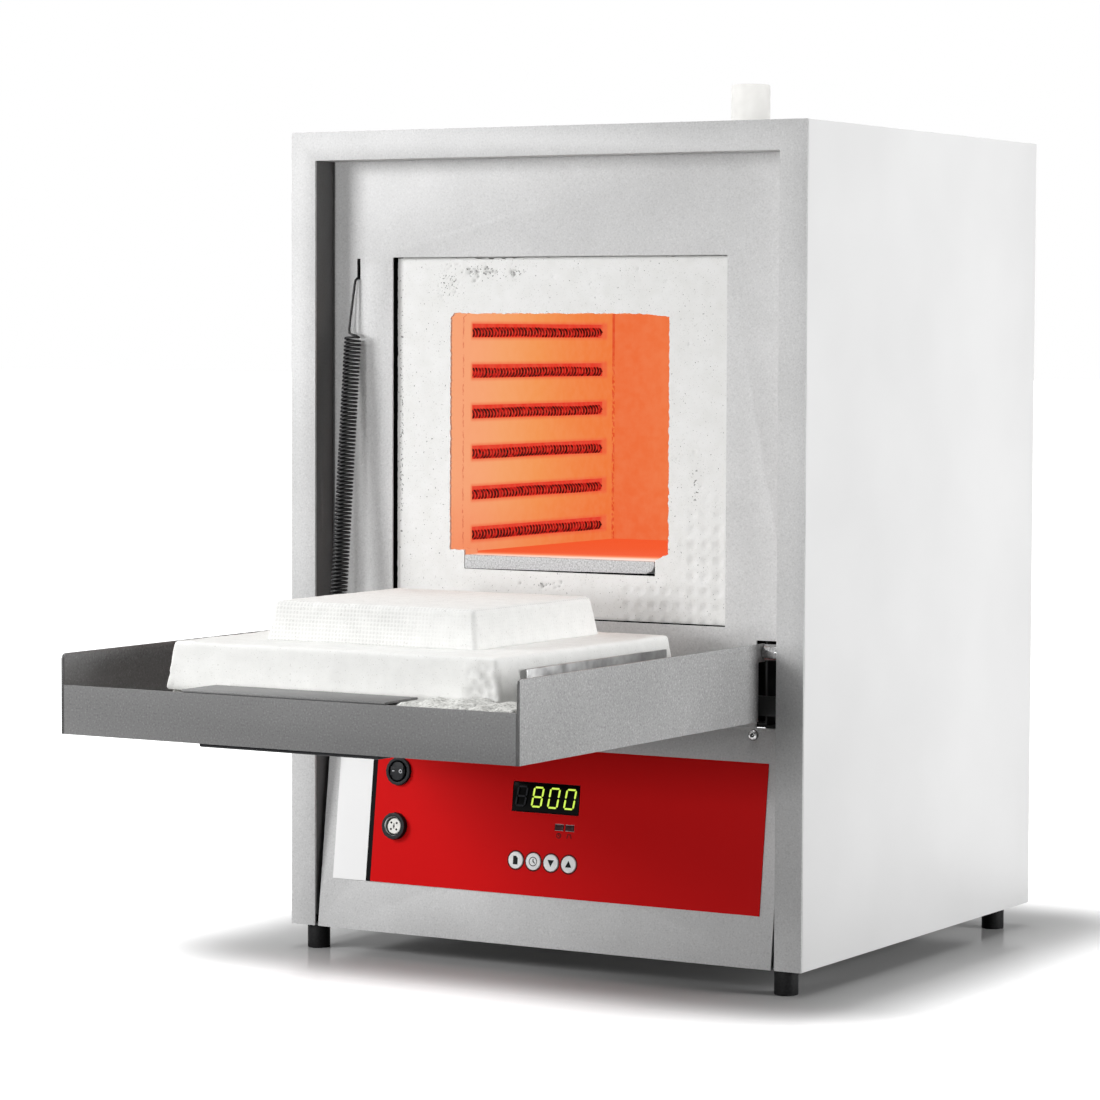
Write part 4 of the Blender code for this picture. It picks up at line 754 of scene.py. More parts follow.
# %% Sheets
SHEETS = (
    ("case_sheet", "outer_case", "cabinet", "white_paint", "white_powder_coat", 0.4),
    ("frame_sheet", "front_frame", "cabinet", "silver_paint", "silver_powder_coat", 0.4),
    ("recess_sheet", "inner_front_panel", "cabinet", "silver_paint", "silver_powder_coat", 0.35),
    ("sloped_sheet", "control_panel", "cabinet", "silver_paint", "silver_powder_coat", 0.35),
    ("tray_sheet", "door_tray", "door", "door_paint", "dark_powder_coat", 0.45),
    ("clip_sheet", "front_clip", "door", "door_paint", "dark_powder_coat", 0.4),
    ("angle_left_sheet", "retaining_angle_left", "door", "zinc_plate", "zinc_plated_steel", 0.4),
    ("angle_right_sheet", "retaining_angle_right", "door", "zinc_plate", "zinc_plated_steel", 0.4),
    ("base_sheet", "base_tray", "cabinet", "zinc_plate", "galvanised_sheet", 0.3),
    ("rear_sheet", "back_panel", "cabinet", "zinc_plate", "galvanised_sheet", 0.3),
    ("pull_bar", "pull_strip", "door", "black_plastic", "moulded_black_abs", 0.5),
)
NOTCH_EDGE, NOTCH_WIDER = 0.1533, 0.0085
for name, node, body, slot, material, edge in SHEETS:
    sheet = copy_of(node, name)
    if name == "recess_sheet":
        points = points_of(sheet)
        at_notch = near_line(np.abs(points[:, 0]), NOTCH_EDGE, 0.0005) & (points[:, 2] < z_at(0.21))
        points[at_notch, 0] -= (np.sign(points[:, 0]) * NOTCH_WIDER)[at_notch]
        move_points(sheet, points)
        print("notch corners moved:", int(at_notch.sum()))
    if name == "pull_bar":
        points = points_of(sheet)
        points[:, 2] = points[:, 2].max() - (points[:, 2].max() - points[:, 2]) * 0.55
        move_points(sheet, points)
    soften(sheet, edge)
    dress(sheet, body, slot, node, material=material)

# %% [markdown]
# ## Boards with a worked surface
#
# A fibre board is pressed wet and cut dry. It has round edges, small pits and the dimples of
# the sieve it was pressed on. Bump alone would leave its outline straight, so the faces are cut
# into small cells: a grid is added, and its rim is extruded down in layers to make the sides.


# %% A block whose top and sides have small cells
def celled_block(name, low, high, cell_mm, taper=0.0, edge_mm=0.0):
    """A closed block with small cells on top and sides, leaning in by taper towards its top."""
    low, high = Vector(low), Vector(high)
    size = high - low
    counts = [max(1, round(length / (cell_mm * MM))) for length in size]
    bpy.ops.object.select_all(action="DESELECT")
    bpy.ops.mesh.primitive_grid_add(x_subdivisions=counts[0], y_subdivisions=counts[1], size=1)
    obj = named(name)
    obj.scale = (size.x, size.y, 1)
    obj.location = ((low.x + high.x) / 2, (low.y + high.y) / 2, high.z)
    settle(obj)
    with editing(obj):
        pick(obj, "EDGE", lambda edge: edge.is_boundary)
        for _ in range(counts[2]):
            bpy.ops.mesh.extrude_edges_move(TRANSFORM_OT_translate={"value": (0, 0, -size.z / counts[2])})
        bpy.ops.mesh.edge_face_add()
        bpy.ops.mesh.select_all(action="SELECT")
        bpy.ops.mesh.normals_make_consistent(inside=False)
    points = points_of(obj)
    if edge_mm:
        inner_low = np.array(low) + edge_mm * MM
        inner_high = np.array(high) - edge_mm * MM
        core = np.clip(points, inner_low, inner_high)
        away = points - core
        reach = np.linalg.norm(away, axis=1, keepdims=True)
        points = core + np.where(reach > 1e-9, away / np.maximum(reach, 1e-9), 0) * edge_mm * MM
    middle = np.array((low + high) / 2)
    lean = 1 - taper * (points[:, 2] - low.z)[:, None] / size.z / (np.array((size.x, size.y)) / 2)
    points[:, :2] = middle[:2] + (points[:, :2] - middle[:2]) * lean
    move_points(obj, points)
    return obj


# %% Hearth tile
TILE_HALF, TILE_LOW, TILE_TOP, TILE_FRONT, TILE_BACK = 0.070, 0.2368, 0.2458, 0.0252, 0.250
tongue = celled_block("hearth_tongue", cab(-TILE_HALF, TILE_FRONT, TILE_LOW), cab(TILE_HALF, 0.0460, TILE_TOP), 1.4,
                      edge_mm=0.8)
points = points_of(tongue)
across_tile = (points[:, 0] + TILE_HALF) / (2 * TILE_HALF)
above_foot = (points[:, 2] - z_at(TILE_LOW)) / (TILE_TOP - TILE_LOW)
points[:, 2] += 1.1 * MM * across_tile * (1 - above_foot)
corner = cab(TILE_HALF, 0, TILE_LOW)
chip = held(1 - np.hypot(points[:, 0] - corner.x, points[:, 2] - corner.z) / 0.006)
points[:, 0] -= 0.0026 * chip
points[:, 2] += 0.0016 * chip
move_points(tongue, points)
roughen(tongue, [(2.2, -0.10, 3), (9, -0.12, 5)])
hearth = celled_block("hearth_slab", cab(-0.0875, 0.0426, TILE_LOW), cab(0.0875, TILE_BACK, TILE_TOP), 5, edge_mm=0.5)
roughen(hearth, [(9, -0.10, 5)])
for piece in (tongue, hearth):
    skin(piece, "granular_refractory_tile")
dress(join("hearth_slab", [hearth, tongue]), "cabinet", "hearth_grey", "hearth_tile")

# %% [markdown]
# ## The front board and its mouth
#
# The board fills the window of the recess, with a dark gap round it. Its mouth was cut by hand,
# so the edge is ragged. The face has clusters of pits at the top and on the right, and lower
# right the print of the sieve shows as shallow dimples about 9 mm apart.
# It starts as a grid. The mouth is deleted out of it, and both rims are extruded back.

# %% Grid and mouth
WINDOW_HALF, BOARD_LOW, BOARD_HIGH = 0.122, 0.2078, 0.4365
BOARD_FRONT, BOARD_BASE, BOARD_BACK = 0.0255, 0.0335, 0.0420
MOUTH_LEFT, MOUTH_RIGHT, MOUTH_HIGH, SLOT_HALF, SLOT_LOW = -0.0812, 0.0797, 0.4010, 0.0703, 0.2367
SHELF_LEFT, SHELF_RIGHT, SHELF_RISE = 0.2490, 0.2465, 0.0043
across_count, up_count = 244, 229
bpy.ops.object.select_all(action="DESELECT")
bpy.ops.mesh.primitive_grid_add(x_subdivisions=across_count, y_subdivisions=up_count, size=1)
board = named("mouth_board")
board.scale = (2 * WINDOW_HALF, BOARD_HIGH - BOARD_LOW, 1)
board.rotation_euler = (math.pi / 2, 0, 0)
board.location = cab(0, BOARD_FRONT, (BOARD_LOW + BOARD_HIGH) / 2)
settle(board)


def in_mouth(face):
    """True for the grid's faces that lie in the mouth or in the tile's slot under it."""
    spot = face.calc_center_median() - CABINET
    shelf = SHELF_LEFT if spot.x < 0 else SHELF_RIGHT
    mouth = MOUTH_LEFT < spot.x < MOUTH_RIGHT + 0.0001 and shelf < spot.z < MOUTH_HIGH
    return mouth or (abs(spot.x) < SLOT_HALF and SLOT_LOW < spot.z < SHELF_LEFT + 0.002)


with editing(board):
    pick(board, "FACE", in_mouth)
    bpy.ops.mesh.delete(type="FACE")
print("board faces:", len(board.data.polygons))

# %% Fit the rims to their lines
flat = points_of(board)
x, _, z = in_cabinet(flat)
cell = 0.0011
shelf = np.where(x < 0, SHELF_LEFT, SHELF_RIGHT)
side = np.where(x < 0, MOUTH_LEFT, MOUTH_RIGHT)
in_height = (z > shelf - cell) & (z < MOUTH_HIGH + cell)
in_width = (x > MOUTH_LEFT - cell) & (x < MOUTH_RIGHT + cell)
side_rim = near_line(x, side) & in_height
top_rim = near_line(z, MOUTH_HIGH) & in_width
shelf_rim = near_line(z, shelf) & in_width & (np.abs(x) > SLOT_HALF - cell)
slot_side = near_line(np.abs(x), SLOT_HALF) & (z > SLOT_LOW - cell) & (z < shelf)
slot_floor = near_line(z, SLOT_LOW) & (np.abs(x) < SLOT_HALF + cell)
flat[side_rim, 0] = side[side_rim]
flat[top_rim, 2] = CABINET.z + MOUTH_HIGH
flat[shelf_rim, 2] = CABINET.z + shelf[shelf_rim]
flat[slot_side, 0] = (np.sign(x) * SLOT_HALF)[slot_side]
flat[slot_floor, 2] = CABINET.z + SLOT_LOW

# %% Bend the lines as the knife left them, then rag them
x, _, z = in_cabinet(flat)
CORNER_CUT, TOP_SAG = 0.0028, 0.0021
cut = np.clip(CORNER_CUT - np.abs(x - MOUTH_LEFT) - np.abs(z - MOUTH_HIGH), 0, None) / 2
sag = TOP_SAG * held((x - 0.058) / 0.022) * held((0.094 - x) / 0.010)
sag *= held(1 - np.abs(z - MOUTH_HIGH) / 0.012)
rise = SHELF_RISE * held((x - SLOT_HALF) / (MOUTH_RIGHT - SLOT_HALF)) * held((0.090 - x) / 0.009)
rise *= held(1 - np.abs(z - SHELF_RIGHT) / 0.012)
flat[:, 0] += cut
flat[:, 2] += rise - sag - cut
teeth = roughness_at(flat, 6, 11) * 0.35 + roughness_at(flat, 2.2, 12) * 0.75
flat[side_rim, 0] += (np.sign(x) * teeth * MM * 0.9)[side_rim]
flat[top_rim | shelf_rim, 2] += (teeth * MM * 0.9)[top_rim | shelf_rim]
left_edge = x < -WINDOW_HALF + 0.0006
flat[left_edge, 0] += (0.4 + teeth[left_edge]).clip(0, 2) * 0.7 * MM
top_edge = z > BOARD_HIGH - 0.0006
CHIPS = ((-0.0760, 0.0012, 0.5), (-0.0587, 0.0040, 1.1), (-0.0502, 0.0028, 1.3), (-0.0418, 0.0022, 0.9),
         (-0.0337, 0.0016, 0.8), (-0.0083, 0.0012, 0.5), (0.0310, 0.0010, 0.4), (0.0820, 0.0014, 0.5))
broken = sum(depth * held(1.3 - np.abs(x - middle) / half) for middle, half, depth in CHIPS)
flat[top_edge, 2] -= (broken * MM * (0.8 + 0.5 * teeth))[top_edge].clip(0, None)
move_points(board, flat)

# %% [markdown]
# Pits are drawn at random from a fixed seed, thick where the real board has them. Each one moves
# the points within its reach back into the board.

# %% Pits and dimples
dice = np.random.default_rng(7)
face_points = points_of(board)
x, _, z = in_cabinet(face_points)
ground = 0.06 * MM * roughness_at(face_points, 3.0, 1) + 0.14 * MM * roughness_at(face_points, 16, 2)
PIT_FIELDS = ((-0.0627, 0.4275, 0.0030, 0.0022, 16, 1.2), (-0.0333, 0.4270, 0.0022, 0.0020, 10, 1.2),
              (-0.0505, 0.4280, 0.0028, 0.0018, 12, 1.1), (-0.083, 0.4205, 0.0060, 0.0055, 14, 0.7),
              (-0.0100, 0.2286, 0.0070, 0.0012, 16, 1.0), (-0.080, 0.4320, 0.0200, 0.0020, 14, 0.6),
              (-0.101, 0.330, 0.0080, 0.0500, 12, 0.5), (0.104, 0.330, 0.0100, 0.0500, 16, 0.6),
              (0.030, 0.422, 0.0500, 0.0060, 14, 0.5), (-0.030, 0.221, 0.0550, 0.0050, 14, 0.5))
pits = np.zeros(len(x))
for centre_x, centre_z, spread_x, spread_z, count, deepest in PIT_FIELDS:
    for _ in range(count):
        pit_x, pit_z = centre_x + dice.normal() * spread_x, centre_z + dice.normal() * spread_z
        reach, depth = dice.uniform(0.8, 1.7) * MM, dice.uniform(0.4, 1.0) * deepest * MM
        distance = np.hypot(x - pit_x, (z - pit_z) * dice.uniform(0.8, 1.5))
        pits = np.maximum(pits, depth * held(1.2 - distance / reach))
for i in range(11):
    distance = np.hypot(x + 0.110 - 0.009 * i, z - 0.2257)
    pits = np.maximum(pits, 0.30 * MM * held(1.2 - distance / 0.0013))
print("deepest pit in mm:", round(float(pits.max() / MM), 2))

# %% The print of the sieve
WAFFLE_X, WAFFLE_Z = 0.0092, 0.0097
near_node = np.hypot(((x / WAFFLE_X) % 1 - 0.5) * WAFFLE_X, ((z / WAFFLE_Z) % 1 - 0.5) * WAFFLE_Z)
printed = held((x - 0.040) / 0.010) * held((0.236 - z) / 0.008)
printed = np.maximum(printed, held((x - 0.086) / 0.006) * held((0.300 - z) / 0.040))
waffle = 0.62 * MM * printed * held(1.25 - near_node / 0.0032)
rim = np.minimum(WINDOW_HALF - np.abs(x), np.minimum(z - BOARD_LOW, BOARD_HIGH - z))
push = np.maximum(ground + pits + waffle, 0) + 0.5 * MM * held(1 - rim / 0.0015) ** 2
face_points[:, 1] += push
move_points(board, face_points)
# The pits and the dimples are darkened in the material, as painted shade.
mark_hollows(board, 0.85 * held(pits / MM - 0.25) + 0.05 * waffle / (0.62 * MM))

# %% Extrude both rims back and close the board behind
board_low, board_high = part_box("front_insulation")


def outer_rim(edge):
    """True for a rim edge on the board's outline, not on its mouth."""
    spot = (edge.verts[0].co + edge.verts[1].co) / 2 - CABINET
    on_side = abs(spot.x) > WINDOW_HALF - 0.006
    return edge.is_boundary and (on_side or spot.z < BOARD_LOW + 0.004 or spot.z > BOARD_HIGH - 0.006)


def draw_back(obj, y, carry=lambda place: place):
    """Extrudes the selected edges to one depth, and can carry them sideways."""
    bpy.ops.mesh.extrude_edges_move(TRANSFORM_OT_translate={"value": (0, 0.001, 0)})
    bm = bmesh.from_edit_mesh(obj.data)
    for vertex in bm.verts:
        if vertex.select:
            vertex.co = carry(vertex.co)
            vertex.co.y = y
    bmesh.update_edit_mesh(obj.data)


def spread(place):
    """The raised outline's point, carried out to the base board's outline."""
    away = place - CABINET
    middle = (BOARD_LOW + BOARD_HIGH) / 2
    return Vector((away.x / WINDOW_HALF * board_high.x, place.y,
                   (board_low.z + board_high.z) / 2 + (away.z - middle) / (BOARD_HIGH - BOARD_LOW)
                   * (board_high.z - board_low.z)))


with editing(board):
    pick(board, "EDGE", outer_rim)
    draw_back(board, y_at(BOARD_BASE))
    draw_back(board, y_at(BOARD_BASE), spread)
    draw_back(board, y_at(BOARD_BACK))
    pick(board, "EDGE", lambda edge: edge.is_boundary and edge.verts[0].co.y < y_at(BOARD_BASE))
    for y in np.linspace(BOARD_FRONT + 0.0025, BOARD_BACK, 7):
        draw_back(board, y_at(y))
    pick(board, "EDGE", lambda edge: edge.is_boundary)
    bpy.ops.mesh.fill(use_beauty=False)
    bpy.ops.mesh.select_all(action="SELECT")
    bpy.ops.mesh.normals_make_consistent(inside=False)
dress(board, "cabinet", "board_white", "front_insulation", material="mouth_fibre_board", angle=50)

# %% [markdown]
# ## The chamber's walls
#
# The side walls have six grooves each, milled into soft board, so their edges have worn round.
# A bevel of 0.7 mm does that on copies of the CAD walls. Roof, floor and back wall are plain
# boards, and keep their CAD shape with the glowing finish.

# %% Walls
for side in ("left", "right"):
    wall = edged("side_insulation_" + side, "grooved_wall_" + side, 0.7)
    dress(wall, "cabinet", "glowing_board", "side_insulation_" + side, material="glowing_fibre_board")

# %% [markdown]
# ## The heater's coils
#
# Each wall has six rows of coiled wire, about 45 turns to a row, joined behind the board at
# alternate ends. A coil is a helix: a point goes round a circle while it moves along the row.
# The points become a curve with a round section, which is then made a mesh.

# %% Coils
COIL_WIRE, COIL_MEAN, COIL_TURNS, TURN_POINTS = 0.00072, 0.00270, 45, 12
TAIL_END, LINK_REACH = 0.3358, 0.003


def coil_row(x, z, begin, end):
    """One row: a flattened helix that opens from its axis at the start and closes to it at the end."""
    count = COIL_TURNS * TURN_POINTS
    row = []
    for i in range(count + 1):
        share = i / count
        opening = min(1.0, i / TURN_POINTS, (count - i) / TURN_POINTS)
        angle = 2 * math.pi * i / TURN_POINTS
        wobble = 1 + 0.04 * math.sin(i * 0.037 + z * 900)
        sway = 0.00025 * math.sin(share * 9 + z * 700)
        row.append(cab(x + COIL_FLAT * opening * math.cos(angle), begin + (end - begin) * share,
                       z + sway + COIL_MEAN * opening * wobble * math.sin(angle)))
    return row


for side, name in ((-1, "left"), (1, "right")):
    x = side * COIL_X
    heights = [ROW_TOP - ROW_PITCH * i for i in range(ROWS)]
    path = [cab(x, TAIL_END, heights[0])]
    for i, z in enumerate(heights):
        begin, end = (ROW_END, ROW_START) if i % 2 == 0 else (ROW_START, ROW_END)
        path += coil_row(x, z, begin, end)
        if i + 1 < ROWS:
            link = ROW_START - LINK_REACH if i % 2 == 0 else ROW_END + LINK_REACH
            path += [cab(x, link, z), cab(x, link, heights[i + 1])]
    path.append(cab(x, TAIL_END, heights[-1]))
    coil = wire("heater_coils_" + name, path, COIL_WIRE)
    dress(coil, "cabinet", "heater_wire", "element_" + name, material="oxidised_heater_wire", angle=60)

# %% [markdown]
# ## The door's insulation
#
# Three layers lie in the tray: a loose fibre blanket, a flat slab, and a plug that closes the
# mouth. The slab is smooth with faint pits. The plug was pressed on a fine sieve, and rows of
# dimples 2.4 mm apart cover its front and its top.

# %% Slab
slab = celled_block("door_board", cab(-0.116, -0.237, 0.1765), cab(0.116, -0.028, 0.2055), 1.6, 0.0039, 2.5)
roughen(slab, [(26, -0.5, 21), (7, -0.22, 22), (2.6, -0.12, 23)])
points = points_of(slab)
x, y, z = in_cabinet(points)
torn = held((-0.108 - x) / 0.006) * held((0.196 - z) / 0.008)
scar = held(1 - np.hypot((x - 0.106) / 0.017, (z - 0.188) / 0.018)) * held((-0.228 - y) / 0.006)
flecks = held(roughness_at(points, 4, 24) + 0.45)
points[:, 0] += torn * 1.6 * MM * flecks
points[:, 1] += scar * 2.6 * MM * flecks
move_points(slab, points)
# The scar and the torn edge are darkened in the material, as painted shade.
mark_hollows(slab, held(scar * 2) * flecks * 0.30 + torn * flecks * 0.3)
dress(slab, "door", "board_white", "door_slab", material="ceramic_fibre_board", angle=60)

# %% Plug
PLUG_LOW, PLUG_HIGH, SIEVE = cab(-0.0745, -0.1935, 0.2032), cab(0.0745, -0.0495, 0.2290), 0.0024
plug = celled_block("door_plug_board", PLUG_LOW, PLUG_HIGH, 0.8, 0.0042, 3.6)
points = points_of(plug)
normals = normals_of(plug)
flat_way = np.abs(normals).argmax(axis=1)
first = np.where(flat_way == 0, points[:, 1], points[:, 0])
second = np.where(flat_way == 2, points[:, 1], points[:, 2])
hole = np.hypot(((first / SIEVE + 0.5) % 1 - 0.5), ((second / SIEVE + 0.5) % 1 - 0.5)) * SIEVE
faint = np.where(flat_way == 1, np.clip((0.060 - points[:, 0]) / 0.05, 0.25, 1), 1)
faint = np.where((flat_way == 0) & (points[:, 0] > 0), 0.15, faint)
dimple = held(1.1 - hole / 0.0010) * (0.75 + 0.35 * roughness_at(points, 8, 31)) * faint
sink = 0.72 * MM * dimple + 0.16 * MM * (1 + roughness_at(points, 20, 32)) + 0.08 * MM * roughness_at(points, 2.2, 33)
move_points(plug, points - normals * np.maximum(sink, 0)[:, None])
# The dimples are darkened in the material, as painted shade.
mark_hollows(plug, dimple * 0.32)
dress(plug, "door", "board_white", "door_plug", material="ceramic_fibre_board", angle=60)

# %% Blanket
blanket = copy_of("door_blanket", "fibre_blanket")
modify(blanket, "REMESH", mode="VOXEL", voxel_size=2.2 * MM)
points = points_of(blanket)
sink = 0.55 * MM * (1 + roughness_at(points, 7, 41)) + 0.35 * MM * (1 + roughness_at(points, 3, 42))
x, y, z = in_cabinet(points)
fluffed = held((z - 0.170) / 0.006) * held((-0.226 - y) / 0.01) * held((x + 0.066) / 0.006)
aside = held((np.abs(x) - 0.070) / 0.006)
lift = (2.2 + 3.6 * aside) * MM * fluffed * (0.72 + 0.5 * roughness_at(points, 9, 43))
low_side = np.maximum(held((-0.113 - x) / 0.005),
                      held((-0.069 - x) / 0.005) * held((-0.232 - y) / 0.005))
pressed = low_side * (z - 0.155) * 0.75
points = points - normals_of(blanket) * sink[:, None]
points[:, 2] += lift - pressed
move_points(blanket, points)
dress(blanket, "door", "board_white", "door_blanket", material="torn_fibre_blanket", angle=60)

# %% [markdown]
# ## The door's spring
#
# A long extension spring of 1.5 mm wire takes the door's weight. Its top is a straight leg that
# hooks into the slot of the recess; its lower end is an eye round a stud on the tray. The leg
# comes down on the left of the coil and crosses over to start the first turn on the right.

# %% Spring
SPRING_WIRE, SPRING_MEAN, SPRING_TURNS, SPRING_POINTS = 0.00078, 0.00490, 82, 14
SPRING_TOP, SPRING_FOOT = Vector((-0.149, 0.0140, 0.3853)), Vector((-0.149, -0.0056, 0.1815))
STUD = Vector((-0.149, -0.007, 0.170))
leg = [(-0.149, 0.0238, 0.4262), (-0.149, 0.0238, 0.4252), (-0.149, 0.0232, 0.4244), (-0.149, 0.0218, 0.4240),
       (-0.1493, 0.0195, 0.4236), (-0.1497, 0.0184, 0.4225), (-0.1502, 0.0180, 0.4193), (-0.1512, 0.0168, 0.4073),
       (-0.1521, 0.0156, 0.3963), (-0.1524, 0.0150, 0.3905), (-0.1518, 0.0144, 0.3881), (-0.1500, 0.0141, 0.3872),
       (-0.1470, 0.0140, 0.3865)]
axis = (SPRING_FOOT - SPRING_TOP).normalized()
out = Vector((1, 0, 0))
other = axis.cross(out)
count = SPRING_TURNS * SPRING_POINTS
coil = []
for i in range(count + 1):
    angle = 2 * math.pi * i / SPRING_POINTS
    reach = SPRING_MEAN * min(1.0, (count - i) / SPRING_POINTS + 0.35)
    coil.append(SPRING_TOP.lerp(SPRING_FOOT, i / count) + reach * (math.cos(angle) * out + math.sin(angle) * other))
eye = []
for i in range(15):
    angle = math.radians(105 + 285 * i / 14)
    eye.append(STUD + 0.0040 * Vector((0, math.cos(angle), math.sin(angle))))
path = [cab(*spot) for spot in leg] + [cab(*spot) for spot in coil] + [cab(*spot) for spot in eye]
spring = wire("door_spring_wire", path, SPRING_WIRE, 2)
dress(spring, "spring", "spring_black", "door_spring", material="blackened_spring_wire", angle=60)
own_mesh(spring)

# %% [markdown]
# ## Bolts, screws, chimney and feet
#
# Screws, the chimney and the switch's round paddle are spun from their profile; bolts, feet, gland
# and fuse cap are copies of their CAD nodes with bevelled edges. Each has the small chamfers that
# turning or moulding leaves, because those are the bright lines that the eye reads as metal.

# %% Panel screws with a socket in the head
SCREW_X, SCREW_UP, SOCKET_R, SOCKET_DEPTH = 0.145, 0.14275, 0.0015, 0.0009
SCREW_PROFILE = [(0, -0.0026), (0.0015, -0.0026), (0.0015, 0.0003), (0.0034, 0.0003), (0.0034, 0.0009),
                 (0.0031, 0.0016), (0.0023, 0.0021), (0.0017, 0.00225), (0.0014, 0.0021), (0.0013, 0.0011),
                 (0.0007, 0.0009), (0.0004, 0.0014), (0, 0.0015)]
for side, name in ((-1, "left"), (1, "right")):
    head = spun("screw_" + name, SCREW_PROFILE, 28)
    skin(head, "polished_steel")
    head.data.materials.append(MATERIALS["socket_shade_steel"])
    # The walls of the socket take the black steel, as painted shade in the recess.
    for face in head.data.polygons:
        if 0.0006 < math.hypot(face.center.x, face.center.y) < SOCKET_R and face.center.z > SOCKET_DEPTH:
            face.material_index = 1
    settle(head, on_panel(side * SCREW_X, SCREW_UP))
    dress(head, "cabinet", "bright_steel", "panel_screw_" + name)

# %% Hinge bolts, spring stud, feet, gland and fuse
for name, node, body, slot, material, edge in (
        ("shoulder_bolt_left", "hinge_bolt_left", "cabinet", "bright_steel", "polished_steel", 0.35),
        ("shoulder_bolt_right", "hinge_bolt_right", "cabinet", "bright_steel", "polished_steel", 0.35),
        ("anchor_stud", "spring_stud", "door", "bright_steel", "polished_steel", 0.3),
        ("rubber_foot_front_left", "foot_front_left", "cabinet", "rubber", "textured_black_rubber", 0.6),
        ("rubber_foot_front_right", "foot_front_right", "cabinet", "rubber", "textured_black_rubber", 0.6),
        ("rubber_foot_rear_left", "foot_rear_left", "cabinet", "rubber", "textured_black_rubber", 0.6),
        ("rubber_foot_rear_right", "foot_rear_right", "cabinet", "rubber", "textured_black_rubber", 0.6),
        ("cable_gland", "mains_gland", "cabinet", "black_plastic", "moulded_black_abs", 0.4),
        ("fuse_cap", "fuse_holder", "cabinet", "black_plastic", "moulded_black_abs", 0.4)):
    dress(edged(node, name, edge), body, slot, node, material=material)

# %% Chimney
CHIMNEY_Y, CHIMNEY_R, CHIMNEY_BORE, CHIMNEY_SEAT, CHIMNEY_TOP = 0.285, 0.0135, 0.0095, 0.3960, 0.560
tube = spun("flue_tube", [(CHIMNEY_BORE, CHIMNEY_SEAT), (CHIMNEY_R, CHIMNEY_SEAT), (CHIMNEY_R, CHIMNEY_TOP - 0.0012),
                          (CHIMNEY_R - 0.0004, CHIMNEY_TOP - 0.0003), (CHIMNEY_R - 0.0012, CHIMNEY_TOP),
                          (CHIMNEY_BORE + 0.0012, CHIMNEY_TOP), (CHIMNEY_BORE + 0.0004, CHIMNEY_TOP - 0.0003),
                          (CHIMNEY_BORE, CHIMNEY_TOP - 0.0012), (CHIMNEY_BORE, CHIMNEY_SEAT)], 56)
settle(tube, Matrix.Translation(cab(0, CHIMNEY_Y, 0)))
dress(tube, "cabinet", "white_ceramic", "chimney_tube", material="glazed_ceramic")

# %% [markdown]
# ## The controls
#
# On the sloped panel sit a smoked window with four digits, two small lamps with a printed mark
# under each, four round keys, a round rocker switch and a round socket with five contacts.
# Seven segment digits repeat one shape, so one bar is drawn, and each digit places its copies.

# %% Window
DISPLAY_X, DISPLAY_UP, DISPLAY_FACE = 0.0004, 0.09445, 0.0016
dress(edged("display_window", "smoked_window", 0.45), "cabinet", "dark_window", "display_window",
      material="smoked_acrylic")

# %% Digits
BAR, HALF_WIDE, HALF_HIGH, DIGIT_LEAN = 0.00056, 0.0033, 0.0061, 0.14
DIGIT_PLACES, LIT = (-0.0171, -0.0052, 0.0067, 0.0186), {"8": "abcdefg", "0": "abcdef", " ": ""}


def bar_points(begin, end):
    """The six corners of one segment between two ends."""
    begin, end = Vector(begin), Vector(end)
    along = (end - begin).normalized()
    begin, end = begin + along * 0.00035, end - along * 0.00035
    aside = Vector((-along.y, along.x)) * BAR
    return [begin, begin + along * BAR + aside, end - along * BAR + aside, end, end - along * BAR - aside,
            begin + along * BAR - aside]


W, H = HALF_WIDE, HALF_HIGH
SEGMENTS = {"a": ((-W, H), (W, H)), "b": ((W, H), (W, 0)), "c": ((W, 0), (W, -H)), "d": ((-W, -H), (W, -H)),
            "e": ((-W, 0), (-W, -H)), "f": ((-W, H), (-W, 0)), "g": ((-W, 0), (W, 0))}
for number, (middle, sign) in enumerate(zip(DIGIT_PLACES, " 800")):
    bars = []
    for letter, (begin, end) in SEGMENTS.items():
        if sign != " " and letter not in LIT[sign]:
            continue
        corners = [(middle + p.x + DIGIT_LEAN * p.y, p.y + 0.0004) for p in bar_points(begin, end)]
        bars.append(plate("bar", corners, -0.0002, 0.00008))
    digit = join("digit_%d" % number, bars)
    settle(digit, on_panel(DISPLAY_X - 0.0004, DISPLAY_UP, DISPLAY_FACE))
    dress(digit, "cabinet", "dark_window", material="unlit_segment" if sign == " " else "lit_segment")

# %% Lamps and the marks under them
FILM_FACE, PRINT, MARK_UP, HAND_HALF = 0.0007, (-0.0001, 0.00006), 0.0715, 0.00025
for name in ("left", "right"):
    dress(edged("lamp_" + name, "lamp_lens_" + name, 0.3), "cabinet", "lamp_dark", "lamp_" + name,
          material="smoked_red_lens")


def ring_print(name, outer, inner, low, high, sides=28):
    """A flat printed ring."""
    return spun(name, [(inner, low), (outer, low), (outer, high), (inner, high), (inner, low)], sides)


face = [ring_print("clock_ring", 0.0018, 0.0012, *PRINT),
        plate("hand_up", [(-HAND_HALF, -0.0001), (HAND_HALF, -0.0001), (HAND_HALF, 0.0013), (-HAND_HALF, 0.0013)],
              *PRINT),
        plate("hand_side", [(-HAND_HALF, 0.0002), (0.0009, -0.0008), (0.0011, -0.0004), (0, 0.0005)], *PRINT)]
mark = settle(join("lamp_mark_clock", face), on_panel(0.0115, MARK_UP, FILM_FACE))
dress(mark, "cabinet", "red_film", material="dark_red_print")
arch = [(-0.0019, -0.0014), (-0.0012, -0.0014), (-0.0007, 0.0008), (0.0007, 0.0008), (0.0012, -0.0014),
        (0.0019, -0.0014), (0.0012, 0.0015), (-0.0012, 0.0015)]
mark = settle(plate("lamp_mark_heat", arch, *PRINT), on_panel(0.0191, MARK_UP, FILM_FACE))
dress(mark, "cabinet", "red_film", material="dark_red_print")

